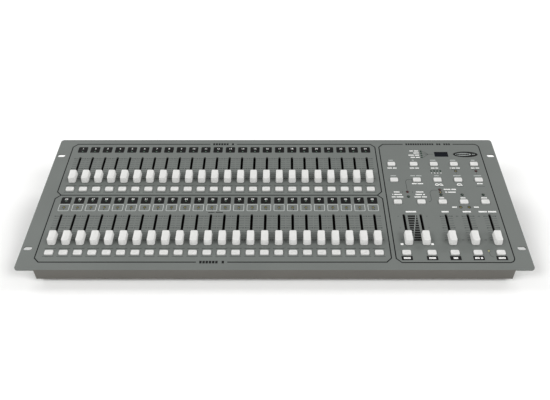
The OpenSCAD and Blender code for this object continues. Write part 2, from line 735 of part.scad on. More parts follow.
module polarity_slider() color(plastic_white) at_rear(polarity_x - slider_travel / 2)
    translate([-slider_knob[0] / 2, -tray_t - slider_reach, -slider_knob[1] / 2])
        cube([slider_knob[0], tray_t + slider_reach + slider_proud, slider_knob[1]]);

top_panel();
base_tray();
mounting_tabs();
case_screws();
rubber_feet();
foot_screws();
preset_a_board();
preset_b_board();
control_board();
main_board();
board_standoffs();
board_screws();
fader_cases();
fader_tracks();
switch_housings();
leds(all_green, "#7fa08a");  // green_leds
leds(all_yellow, "#c7bd6a");  // yellow_leds
leds(red_led_at, "#b3403a");  // red_leds
led_spacers();
display_module();
display_window();
ribbon_cables();
dmx_outputs();
midi_sockets();
audio_inputs();
remote_jack();
power_inlet();
power_switch_frame();
polarity_switch_frame();
controller_chips();
power_supply_parts();
for (g = [0:5]) {
    fader_group(fader_row_a, g);
    fader_group(fader_row_b, g);
}
fader([control_fader_u[0], fader_row_b]);  // crossfader_a
fader([control_fader_u[1], fader_row_b]);  // crossfader_b
fader([control_fader_u[2], fader_row_b]);  // speed_fader
fader([control_fader_u[3], fader_row_b]);  // fade_fader
fader([control_fader_u[4], fader_row_b]);  // master_fader
for (g = [0:2]) {
    bump_group_at(bump_row_a, g);
    bump_group_at(bump_row_b, g);
}
buttons(button_row(mode_row));  // mode_buttons
buttons(button_row(select_row));  // select_buttons
buttons(button_row(step_row));  // step_buttons
buttons(button_row(flash_row));  // flash_buttons
power_rocker();
polarity_slider();
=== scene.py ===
"""Dresses a sloping lighting control desk: its paint and print, fader caps, buttons, lamps, sockets, and the studio.

Places on the panel are millimetres: u from its left edge, v up the slope from its front edge, z out of its face.
"""

import json
import logging
import math
from contextlib import contextmanager
from dataclasses import dataclass, field
from enum import Enum
from typing import Any, Callable, Iterator, Sequence

import bmesh
import bpy
from mathutils import Matrix, Vector

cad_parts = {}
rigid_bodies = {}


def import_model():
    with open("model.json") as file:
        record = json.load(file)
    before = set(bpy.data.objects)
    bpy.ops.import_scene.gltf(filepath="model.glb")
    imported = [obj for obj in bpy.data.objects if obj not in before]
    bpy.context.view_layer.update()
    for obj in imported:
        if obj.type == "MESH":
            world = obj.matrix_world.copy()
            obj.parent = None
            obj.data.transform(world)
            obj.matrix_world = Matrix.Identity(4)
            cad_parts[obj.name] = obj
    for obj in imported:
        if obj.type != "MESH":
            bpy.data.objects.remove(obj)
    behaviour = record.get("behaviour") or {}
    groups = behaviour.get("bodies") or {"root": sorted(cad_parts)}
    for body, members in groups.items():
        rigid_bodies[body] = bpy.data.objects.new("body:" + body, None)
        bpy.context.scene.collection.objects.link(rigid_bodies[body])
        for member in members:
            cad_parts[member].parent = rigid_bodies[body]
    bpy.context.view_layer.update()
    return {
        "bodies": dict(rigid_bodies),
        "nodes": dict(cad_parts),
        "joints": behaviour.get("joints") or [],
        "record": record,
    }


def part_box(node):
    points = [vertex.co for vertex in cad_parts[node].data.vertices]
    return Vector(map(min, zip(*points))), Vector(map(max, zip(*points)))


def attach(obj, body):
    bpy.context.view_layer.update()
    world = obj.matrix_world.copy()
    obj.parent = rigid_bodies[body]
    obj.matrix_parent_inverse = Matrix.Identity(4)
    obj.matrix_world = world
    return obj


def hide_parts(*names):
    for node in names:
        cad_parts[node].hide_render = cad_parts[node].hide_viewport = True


LOG = logging.getLogger("control_desk")
MM = 0.001
Place = tuple[float, float]
Span = tuple[float, float]
Sizes = tuple[float, ...]
Words = tuple[int, ...]
Caption = tuple[float, float, Words]
Mesh = bmesh.types.BMesh
Socket = bpy.types.NodeSocket


# --- Finishes ------------------------------------------------------------------------------------


def linear(colour: str) -> tuple[float, float, float, float]:
    """Turn an sRGB hex colour into linear RGBA.

    Args:
        colour: six hex digits after a hash sign.

    Returns:
        The four linear channels, with an alpha of one.
    """
    parts = [int(colour[k : k + 2], 16) / 255 for k in (1, 3, 5)]
    red, green, blue = (c / 12.92 if c <= 0.04045 else ((c + 0.055) / 1.055) ** 2.4 for c in parts)
    return red, green, blue, 1.0


def add_node(
    tree: bpy.types.NodeTree, kind: str, settings: dict[str, Any], inputs: dict[str, Any]
) -> bpy.types.Node:
    """Add one shader node with its settings and its links.

    Args:
        tree: the material's node tree.
        kind: the node's type name.
        settings: attributes of the node.
        inputs: socket name to a constant, or to the output socket that feeds it.

    Returns:
        The new node.
    """
    node = tree.nodes.new(kind)
    for key, value in settings.items():
        setattr(node, key, value)
    for key, value in inputs.items():
        if isinstance(value, Socket):
            tree.links.new(value, node.inputs[key])
        else:
            node.inputs[key].default_value = value
    return node


@dataclass
class Skin:
    """A material while it is being dressed.

    Attributes:
        place: the point on the object, which every pattern reads.
        colour: the finish's plain colour.
        roughness: the finish's plain roughness.
    """

    tree: bpy.types.NodeTree
    shader: bpy.types.Node
    place: Socket
    colour: str
    roughness: float

    def fix(self, values: dict[str, float]) -> None:
        """Set some of the shader's own values."""
        for name, value in values.items():
            self.shader.inputs[name].default_value = value

    def feed(self, name: str, value: Socket) -> None:
        """Let a pattern drive one of the shader's values."""
        self.tree.links.new(value, self.shader.inputs[name])

    def lumps(self, grain_mm: float, detail: float = 2.0, place: Socket | None = None) -> Socket:
        """Return a pattern of lumps grain_mm across."""
        sizes = {"Vector": self.place if place is None else place, "Scale": 1 / (grain_mm * MM), "Detail": detail}
        return add_node(self.tree, "ShaderNodeTexNoise", {}, sizes).outputs["Fac"]

    def bands(self, pitch_mm: float, across: str, more: dict[str, float]) -> Socket:
        """Return a pattern of ridges pitch_mm apart along an axis."""
        sizes = {"Vector": self.place, "Scale": 0.5 / (pitch_mm * MM), **more}
        return add_node(self.tree, "ShaderNodeTexWave", {"bands_direction": across}, sizes).outputs["Fac"]

    def spread(self, value: Socket, low: float, high: float) -> Socket:
        """Return a pattern, which stays near a half, stretched to run from low to high."""
        ends = {"Value": value, "From Min": 0.3, "From Max": 0.7, "To Min": low, "To Max": high}
        return add_node(self.tree, "ShaderNodeMapRange", {}, ends).outputs["Result"]

    def tint(self, value: Socket, amount: float) -> None:
        """Make the colour lighter and darker by amount as the pattern goes."""
        parts = {"Color": linear(self.colour), "Value": self.spread(value, 1 - amount, 1 + amount)}
        self.feed("Base Color", add_node(self.tree, "ShaderNodeHueSaturation", {}, parts).outputs["Color"])

    def scuff(self, value: Socket, less: float, more: float) -> None:
        """Make the surface smoother by less and rougher by more as the pattern goes."""
        self.feed("Roughness", self.spread(value, self.roughness - less, self.roughness + more))

    def emboss(self, value: Socket, depth_mm: float) -> None:
        """Raise the surface by up to depth_mm as the pattern goes."""
        parts = {"Height": value, "Distance": depth_mm * MM, "Strength": 1.0}
        self.feed("Normal", add_node(self.tree, "ShaderNodeBump", {}, parts).outputs["Normal"])


@dataclass(frozen=True)
class Finish:
    """A surface with a name, a colour and a roughness, made into a material once."""

    name: str
    colour: str
    roughness: float = 0.5

    def material(self) -> bpy.types.Material:
        """Return the finish's material, making it the first time."""
        known = bpy.data.materials.get(self.name)
        if known is not None:
            return known
        material = bpy.data.materials.new(self.name)
        material.use_nodes = True
        material.diffuse_color = linear(self.colour)
        tree = material.node_tree
        place = add_node(tree, "ShaderNodeTexCoord", {}, {}).outputs["Object"]
        skin = Skin(tree, tree.nodes["Principled BSDF"], place, self.colour, self.roughness)
        skin.shader.inputs["Base Color"].default_value = linear(self.colour)
        skin.fix({"Roughness": self.roughness})
        self.dress(skin)
        return material

    def dress(self, skin: Skin) -> None:
        """Add the finish's own pattern; each kind of finish has its own."""


@dataclass(frozen=True)
class PowderCoat(Finish):
    """Polyester powder baked on sheet steel: satin, with a fine leather-like grain that breaks up every highlight."""

    grain_mm: float = 0.55
    grain_depth_mm: float = 0.035
    cloud_mm: float = 70.0

    def dress(self, skin: Skin) -> None:
        """Give the paint its grain, and the faint clouds where the powder lies thicker."""
        grain = skin.lumps(self.grain_mm, 3.0)
        cloud = skin.lumps(self.cloud_mm)
        both = add_node(skin.tree, "ShaderNodeMath", {"operation": "ADD"}, {0: grain, 1: cloud})
        shares = {0: both.outputs["Value"], 1: 0.5}
        half = add_node(skin.tree, "ShaderNodeMath", {"operation": "MULTIPLY"}, shares)
        skin.tint(half.outputs["Value"], 0.07)
        skin.scuff(grain, 0.06, 0.08)
        skin.emboss(grain, self.grain_depth_mm)


@dataclass(frozen=True)
class MouldedPlastic(Finish):
    """ABS from a spark-eroded mould: a soft sheen over a fine even grain, slightly cloudy in colour."""

    grain_mm: float = 0.3
    grain_depth_mm: float = 0.012
    cloud_mm: float = 9.0
    cloudiness: float = 0.02

    def dress(self, skin: Skin) -> None:
        """Give the plastic its mould grain and its slight cloudiness."""
        skin.tint(skin.lumps(self.cloud_mm), self.cloudiness)
        grain = skin.lumps(self.grain_mm)
        skin.scuff(grain, 0.05, 0.05)
        skin.emboss(grain, self.grain_depth_mm)


@dataclass(frozen=True)
class ScreenInk(Finish):
    """Screen printing ink: flat, a little uneven where the mesh laid it thin."""

    gloss: float = 0.2
    weave_mm: float = 0.4

    def dress(self, skin: Skin) -> None:
        """Give the ink the unevenness that the screen's mesh leaves."""
        skin.fix({"Specular IOR Level": self.gloss})
        weave = skin.lumps(self.weave_mm, 1.0)
        skin.tint(weave, 0.08)
        skin.emboss(weave, 0.006)


@dataclass(frozen=True)
class PlatedMetal(Finish):
    """Zinc or nickel plate over drawn metal: a metallic grey with fine streaks along Y and dull patches."""

    streak_mm: float = 0.25
    stretch: float = 12.0
    patch_mm: float = 6.0

    def dress(self, skin: Skin) -> None:
        """Give the plate its streaks and its patches."""
        skin.fix({"Metallic": 1.0})
        drawn = {"Vector": skin.place, "Scale": (1.0, 1 / self.stretch, 1.0)}
        along = add_node(skin.tree, "ShaderNodeMapping", {}, drawn).outputs["Vector"]
        streaks = skin.lumps(self.streak_mm, place=along)
        skin.tint(skin.lumps(self.patch_mm), 0.08)
        skin.scuff(streaks, 0.08, 0.1)
        skin.emboss(streaks, 0.006)


@dataclass(frozen=True)
class LampLens(Finish):
    """Tinted epoxy of an unlit lamp: clear at the skin, milky inside, so it shows deep colour and a sharp glint."""

    clearness: float = 0.35
    cloud_mm: float = 1.0

    def dress(self, skin: Skin) -> None:
        """Let some light through, and make the inside milky."""
        skin.fix({"Transmission Weight": self.clearness, "IOR": 1.54})
        skin.tint(skin.lumps(self.cloud_mm), 0.15)


@dataclass(frozen=True)
class SmokedAcrylic(Finish):
    """Dark cast acrylic, polished: nearly black with a mirror-like skin and faint wiping marks."""

    marks_mm: float = 3.0

    def dress(self, skin: Skin) -> None:
        """Give the window its faint wiping marks."""
        skin.fix({"IOR": 1.49, "Specular IOR Level": 0.35})
        skin.scuff(skin.lumps(self.marks_mm, 4.0), 0.0, 0.08)


@dataclass(frozen=True)
class SolderMask(Finish):
    """Glass-epoxy board under solder mask: glossy green, with lighter copper tracks showing through in lines."""

    track_mm: float = 2.54

    def dress(self, skin: Skin) -> None:
        """Show the copper tracks as bent bands one pin pitch apart."""
        tracks = skin.bands(self.track_mm, "X", {"Distortion": 1.5, "Detail": 0.0})
        skin.tint(tracks, 0.25)
        skin.emboss(tracks, 0.03)


@dataclass(frozen=True)
class FlatCable(Finish):
    """PVC flat cable: grey cores side by side, each a shallow ridge."""

    core_mm: float = 1.27

    def dress(self, skin: Skin) -> None:
        """Show the cores as ridges at the cable's own pitch."""
        cores = skin.bands(self.core_mm, "Y", {})
        skin.tint(cores, 0.15)
        skin.emboss(cores, 0.2)


PANEL_PAINT = PowderCoat("grey_powder_coat", "#666a67", 0.6)
# The tray's darker warm grey paint; on the panel's forward-facing skirt it is painted shade.
HOUSING_PAINT_AND_SKIRT_SHADE = PowderCoat("warm_grey_powder_coat_and_skirt_shade", "#5b5954", 0.6)
CAP_WHITE = MouldedPlastic("white_abs_caps", "#d3d3d1", 0.42)
BUTTON_WHITE = MouldedPlastic("white_abs_buttons", "#cfcfcd", 0.45)
BLACK_PLASTIC = MouldedPlastic("black_nylon", "#1b1b1d", 0.5)
RUBBER = MouldedPlastic("black_rubber", "#151515", 0.85, grain_mm=0.6, grain_depth_mm=0.04)
INK_BLACK = ScreenInk("black_ink", "#0d0d0d", 0.6)
INK_WHITE = ScreenInk("white_ink", "#f2f2f0", 0.5)
INK_SILVER = ScreenInk("silver_ink", "#8f9492", 0.5)
INK_PALE = ScreenInk("pale_grey_ink", "#b6bab8", 0.5)
INK_GREY = ScreenInk("grey_ink", "#3a3d3b", 0.6)
ZINC = PlatedMetal("zinc_plated_steel", "#b4b6b8", 0.38)
NICKEL = PlatedMetal("nickel_plated_brass", "#c9c5bb", 0.25)
PHONO_RED = MouldedPlastic("red_nylon_insert", "#a3201f", 0.4)
PHONO_WHITE = MouldedPlastic("white_nylon_insert", "#dcdcd6", 0.4)
BLACK_METAL = PowderCoat("black_enamel", "#1c1c1d", 0.42, grain_mm=0.4, grain_depth_mm=0.02)
# Near-black fader cases: partly the black dust cover of such faders, partly painted shade so the slots read black.
DARK_CASE_AND_SLOT_SHADE = MouldedPlastic("dull_black_cover_and_slot_shade", "#060606", 0.9, grain_mm=0.5, grain_depth_mm=0.02)
LAMP_GREEN = LampLens("green_lamp_epoxy", "#1d4430", 0.18)
LAMP_SAGE = LampLens("pale_green_lamp_epoxy", "#5f7a68", 0.18)
LAMP_YELLOW = LampLens("yellow_lamp_epoxy", "#8f8650", 0.18)
LAMP_RED = LampLens("red_lamp_epoxy", "#6a2426", 0.18)
LAMP_PALE = LampLens("pale_yellow_lamp_epoxy", "#d2cf9c", 0.18)
WINDOW = SmokedAcrylic("smoked_acrylic", "#080c14", 0.12)
BOARD = SolderMask("green_solder_mask", "#1f5a36", 0.3)
LAMINATE = MouldedPlastic("phenolic_laminate", "#1d130c", 0.8, grain_mm=0.8, cloudiness=0.12)
CABLE = FlatCable("grey_flat_cable", "#8f9498", 0.5)
ALUMINIUM = PlatedMetal("anodised_aluminium", "#aeb1b4", 0.4)

NODE_FINISHES: dict[Finish, tuple[str, ...]] = {
    PANEL_PAINT: ("top_panel",),
    HOUSING_PAINT_AND_SKIRT_SHADE: ("base_tray",),
    ZINC: ("mounting_tabs", "foot_screws", "board_standoffs", "board_screws"),
    BLACK_METAL: ("case_screws", "dmx_outputs"),
    RUBBER: ("rubber_feet",),
    BOARD: ("preset_a_board", "preset_b_board", "control_board", "main_board"),
    DARK_CASE_AND_SLOT_SHADE: ("fader_cases",),
    LAMINATE: ("fader_tracks",),
    BLACK_PLASTIC: (
        "switch_housings", "led_spacers", "display_module", "controller_chips", "midi_sockets", "remote_jack",
        "power_inlet", "power_switch_frame", "power_rocker", "polarity_switch_frame",
    ),
    WINDOW: ("display_window",),
    CABLE: ("ribbon_cables",),
    NICKEL: ("audio_inputs",),
    ALUMINIUM: ("power_supply_parts",),
    BUTTON_WHITE: ("polarity_slider",),
}


# --- Shapes --------------------------------------------------------------------------------------


class Hem(Enum):
    """The angle over which an edge is shaded sharp."""

    CRISP = math.radians(30)
    SOFT = math.radians(60)


@dataclass(frozen=True)
class Slope:
    """The panel's own frame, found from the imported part.

    Attributes:
        tilt: the slope's angle, in radians.
        front: the panel's front edge in the row frame, as (y, z) in metres.
        width: the panel's width, in millimetres.
        depth: the panel's depth up the slope, in millimetres.
    """

    tilt: float
    front: tuple[float, float]
    width: float
    depth: float

    @classmethod
    def find(cls, frame: dict[str, Any], fader_joint: str = "master_fader_travel", sheet: float = 2.0) -> "Slope":
        """Find the slope from a fader's axis and the panel's box.

        Args:
            fader_joint: a joint that runs straight up the slope.
            sheet: thickness of the panel's sheet, in millimetres.

        Returns:
            The panel's frame.
        """
        joints = frame["record"]["behaviour"]["joints"]
        axis = next(joint["axis"] for joint in joints if joint["name"] == fader_joint)
        tilt = math.atan2(axis[2], axis[1])
        low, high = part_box("top_panel")
        depth = (high[1] - low[1] - sheet * MM * math.sin(tilt)) / math.cos(tilt)
        front = (low[1], high[2] - depth * math.sin(tilt))
        return cls(tilt, front, (high[0] - low[0]) / MM, depth / MM)

    def matrix(self) -> Matrix:
        """Return the matrix from the panel's millimetres to the row frame."""
        shift = Matrix.Translation((0.0, self.front[0], self.front[1]))
        left = Matrix.Translation((-self.width / 2, 0.0, 0.0))
        return shift @ Matrix.Rotation(self.tilt, 4, "X") @ Matrix.Scale(MM, 4) @ left


@dataclass
class Piece:
    """One finished piece: its name, the body it rides on, its slot, finishes, and the CAD nodes it stands for."""

    name: str
    body: str
    slot: str
    finishes: tuple[Finish, ...]
    stands_for: tuple[str, ...] = ()
    hem: Hem = Hem.CRISP

    def make(self, mesh: Mesh, place: Matrix) -> bpy.types.Object:
        """Turn a bmesh into the piece.

        Args:
            mesh: the shape, in millimetres; it is freed.
            place: the matrix that carries it to the row frame.

        Returns:
            The piece's object, at the origin.
        """
        bmesh.ops.transform(mesh, matrix=place, verts=mesh.verts)
        bmesh.ops.recalc_face_normals(mesh, faces=mesh.faces)
        data = bpy.data.meshes.new(self.name)
        mesh.to_mesh(data)
        mesh.free()
        data.shade_smooth()
        data.set_sharp_from_angle(angle=self.hem.value)
        for finish in self.finishes:
            data.materials.append(finish.material())
        piece = bpy.data.objects.new(self.name, data)
        bpy.context.scene.collection.objects.link(piece)
        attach(piece, self.body)
        if self.stands_for:
            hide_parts(*self.stands_for)
        LOG.info("%s: %d faces on %s", self.name, len(data.polygons), self.body)
        return piece


@contextmanager
def template(name: str) -> Iterator[Mesh]:
    """Build a small shape that is pressed many times, and keep it as a mesh named name."""
    mesh = bmesh.new()
    yield mesh
    data = bpy.data.meshes.new(name)
    mesh.to_mesh(data)
    mesh.free()


def stamp(name: str, places: Sequence[Place], mesh: Mesh | None = None) -> Mesh:
    """Copy a template to every place.

    Args:
        name: the template's name.
        places: where its origin goes, as (u, v).
        mesh: the shape that receives the copies, or None for a new one.

    Returns:
        The shape.
    """
    mesh = bmesh.new() if mesh is None else mesh
    for place in places:
        first = len(mesh.verts)
        mesh.from_mesh(bpy.data.meshes[name])
        mesh.verts.ensure_lookup_table()
        bmesh.ops.translate(mesh, vec=(*place, 0.0), verts=mesh.verts[first:])
    return mesh


def block(mesh: Mesh, size: Sequence[float], middle: Sequence[float]) -> list[bmesh.types.BMVert]:
    """Add a plain block.

    Args:
        mesh: the shape that receives it.
        size: its width, depth and height.
        middle: its centre.

    Returns:
        Its eight corners.
    """
    place = Matrix.Translation(middle) @ Matrix.Diagonal((*size, 1.0))
    return bmesh.ops.create_cube(mesh, size=1.0, matrix=place)["verts"]


def round_edges(mesh: Mesh, edges: Sequence[bmesh.types.BMEdge], radius: float, segments: int) -> None:
    """Round the given edges to a radius."""
    bmesh.ops.bevel(mesh, geom=list(edges), offset=radius, segments=segments, affect="EDGES", profile=0.5, material=-1)


def upright(edge: bmesh.types.BMEdge) -> bool:
    """Tell whether an edge runs more up and down than along the panel."""
    run = edge.verts[0].co - edge.verts[1].co
    return abs(run.z) > math.hypot(run.x, run.y)


def lathe(mesh: Mesh, outline: Sequence[Place], steps: int = 20) -> None:
    """Spin an outline about the middle.

    Args:
        mesh: the shape that receives it.
        outline: (radius, height) points, from one end of the axis to the other.
        steps: how many flats go round.
    """
    verts = [mesh.verts.new((radius, 0.0, height)) for radius, height in outline]
    edges = [mesh.edges.new(pair) for pair in zip(verts, verts[1:])]
    middle, up = (0.0, 0.0, 0.0), (0.0, 0.0, 1.0)
    bmesh.ops.spin(mesh, geom=verts + edges, axis=up, cent=middle, angle=2 * math.pi, steps=steps, use_merge=True)
    bmesh.ops.remove_doubles(mesh, verts=mesh.verts, dist=1e-4)


# --- Print on the panel ----------------------------------------------------------------------------


class Ink(Enum):
    """The inks on the panel, in the order of a print's finishes."""

    BLACK = 0
    WHITE = 1
    GREY = 2
    SILVER = 3
    PALE = 4


INKS = (INK_BLACK, INK_WHITE, INK_GREY, INK_SILVER, INK_PALE)


@dataclass
class Print:
    """Ink laid on the panel as thin raised shapes.

    Attributes:
        lift: height of the ink's underside over the paint.
        film: thickness of the ink.
        block: how much of a letter's step its block fills.
        letter: height of a block, and distance to the next, in a caption of the usual size.
        digit: height of a digit in a font of size one.
        sharpest: the least cosine that a stroke's mitre reaches out for.
    """

    lift: float = 0.01
    film: float = 0.04
    mesh: Mesh = field(default_factory=bmesh.new)
    block: float = 0.74
    letter: Span = (2.2, 1.45)
    digit: float = 0.69
    sharpest: float = 0.4

    def over(self) -> "Print":
        """Return a print on top of this one, in the same mesh."""
        return Print(lift=self.lift + self.film, mesh=self.mesh)

    def raise_ink(self, faces: Sequence[bmesh.types.BMFace], ink: Ink) -> None:
        """Give flat faces the film's thickness and the ink's finish."""
        made = bmesh.ops.extrude_face_region(self.mesh, geom=list(faces))
        tops = [item for item in made["geom"] if isinstance(item, bmesh.types.BMVert)]
        bmesh.ops.translate(self.mesh, vec=(0.0, 0.0, self.film), verts=tops)
        for vert in tops:
            for face in vert.link_faces:
                face.material_index = ink.value
        for face in faces:
            face.material_index = ink.value

    def flat(self, u: float, v: float, width: float, height: float) -> bmesh.types.BMFace:
        """Add one flat rectangle at the ink's underside and return it."""
        place = Matrix.Translation((u, v, self.lift)) @ Matrix.Diagonal((width / 2, height / 2, 1.0, 1.0))
        made = bmesh.ops.create_grid(self.mesh, x_segments=1, y_segments=1, size=1.0, matrix=place)
        return made["verts"][0].link_faces[0]

    def bar(self, u: float, v: float, width: float, height: float, ink: Ink) -> None:
        """Print a plain bar centred on (u, v)."""
        self.raise_ink([self.flat(u, v, width, height)], ink)

    def rounded(self, u: float, v: float, width: float, height: float, radius: float) -> list[bmesh.types.BMFace]:
        """Add one flat rectangle with round corners and return its faces."""
        before = set(self.mesh.faces)
        corners = list(self.flat(u, v, width, height).verts)
        bmesh.ops.bevel(self.mesh, geom=corners, offset=radius, segments=4, affect="VERTICES", profile=0.5, material=-1)
        return [face for face in self.mesh.faces if face not in before]

    def plate(self, u: float, v: float, width: float, height: float, radius: float, ink: Ink) -> None:
        """Print a filled plate with round corners."""
        self.raise_ink(self.rounded(u, v, width, height, radius), ink)

    def ring(self, u: float, v: float, width: float, height: float, radius: float, line: float, ink: Ink) -> None:
        """Print a plate's outline, line wide."""
        before = set(self.mesh.faces)
        inner = self.rounded(u, v, width, height, radius)
        bmesh.ops.inset_region(self.mesh, faces=inner, thickness=line, use_even_offset=True, use_boundary=True)
        bmesh.ops.delete(self.mesh, geom=inner, context="FACES")
        self.raise_ink([face for face in self.mesh.faces if face not in before], ink)

    def stroke(self, points: Sequence[Place], line: float, ink: Ink) -> None:
        """Print a line through the points, with mitred corners.

        Args:
            points: the line's middle, from end to end.
            line: its width.
            ink: its ink.
        """
        path = [Vector(point) for point in points]
        rails: list[list[bmesh.types.BMVert]] = []
        for k, point in enumerate(path):
            before = (point - path[max(k - 1, 0)]).normalized()
            after = (path[min(k + 1, len(path) - 1)] - point).normalized()
            run = (before + after).normalized()
            reach = line / 2 / max(run.dot(after if after.length else before), self.sharpest)
            across = Vector((-run.y, run.x)) * reach
            rails.append([self.mesh.verts.new((*(point + s * across), self.lift)) for s in (-1, 1)])
        made = [self.mesh.faces.new((a[0], b[0], b[1], a[1])) for a, b in zip(rails, rails[1:])]
        self.raise_ink(made, ink)

    def words(self, u: float, v: float, lengths: Words, ink: Ink, letter: Span | None = None, end: float = 0.5) -> None:
        """Print a caption's stand-in: rows of small blocks where its letters would be.

        Args:
            u: where the caption stands.
            v: middle of the caption.
            lengths: how many blocks each word has.
            ink: its ink.
            letter: height of a block, and distance to the next, or None for the usual size.
            end: how much of the caption lies before u: a half, or all of it.
        """
        size, step = letter or self.letter
        left = u - (sum(lengths) + len(lengths) - 1) * step * end + step / 2
        for length in lengths:
            for _ in range(length):
                self.bar(left, v, step * self.block, size, ink)
                left += step
            left += step

    def oval(self, u: float, v: float, half_width: float, half_height: float, ink: Ink) -> None:
        """Print a filled oval centred on (u, v)."""
        place = Matrix.Translation((u, v, self.lift)) @ Matrix.Diagonal((half_width, half_height, 1.0, 1.0))
        made = bmesh.ops.create_circle(self.mesh, cap_ends=True, segments=40, radius=1.0, matrix=place)
        self.raise_ink([made["verts"][0].link_faces[0]], ink)

    def numeral(self, number: int, u: float, v: float, size: float, ink: Ink) -> None:
        """Print a number centred on (u, v), size high."""
        curve = bpy.data.curves.new("numeral", "FONT")
        curve.body = str(number)
        curve.size = size / self.digit
        curve.align_x = "CENTER"
        curve.resolution_u = 2
        curve.extrude = self.film / 2
        holder = bpy.data.objects.new("numeral", curve)
        glyphs = bpy.data.meshes.new_from_object(holder)
        glyphs.transform(Matrix.Translation((u, v - size / 2, self.lift + self.film / 2)))
        for face in glyphs.polygons:
            face.material_index = ink.value
        self.mesh.from_mesh(glyphs)
        bpy.data.objects.remove(holder)
        bpy.data.curves.remove(curve)
        bpy.data.meshes.remove(glyphs)

    def lay(self, name: str, place: Matrix) -> bpy.types.Object:
        """Finish the print as one piece on the case."""
        return Piece(name, "root", "panel_paint", INKS).make(self.mesh, place)


def arc(middle: Place, radius: float, start: float, end: float, steps: int = 6) -> list[Place]:
    """Return the points of an arc, from one angle in degrees to another."""
    angles = [math.radians(start + (end - start) * k / steps) for k in range(steps + 1)]
    return [(middle[0] + radius * math.cos(a), middle[1] + radius * math.sin(a)) for a in angles]


@dataclass(frozen=True)
class FaderScale:
    """The scale printed on both sides of a fader's slot.

    Attributes:
        steps: how many steps the travel is split into; every fifth is heavy.
        lines: thickness of the heavy and of the light lines.
        dot: distance from the slot, and size, of the square at a heavy line's outer end.
    """

    travel: float = 45.0
    steps: int = 10
    reach: float = 5.9
    length: float = 6.6
    lines: Span = (0.6, 0.45)
    dot: Span = (8.6, 1.3)

    def heights(self, every: int = 1) -> list[tuple[int, float]]:
        """Return the number and the height of each step."""
        return [(step, self.travel * step / self.steps) for step in range(0, self.steps + 1, every)]

    def draw(self, ink: Print) -> None:
        """Print the scale round the slot's lower end."""
        for step, v in self.heights():
            heavy = step % 5 == 0
            line, tone = (self.lines[0], Ink.BLACK) if heavy else (self.lines[1], Ink.GREY)
            for side in (-1, 1):
                ink.bar(side * self.reach, v, self.length, line, tone)
                if heavy:
                    ink.bar(side * self.dot[0], v, self.dot[1], self.dot[1], Ink.BLACK)


SCALE = FaderScale()


def print_sheets(sheets: dict[str, Callable[[Print], None]], slope: Slope) -> None:
    """Print each named sheet as a piece of its own."""
    for name, draw in sheets.items():
        ink = Print()
        draw(ink)
        ink.lay(name, slope.matrix())


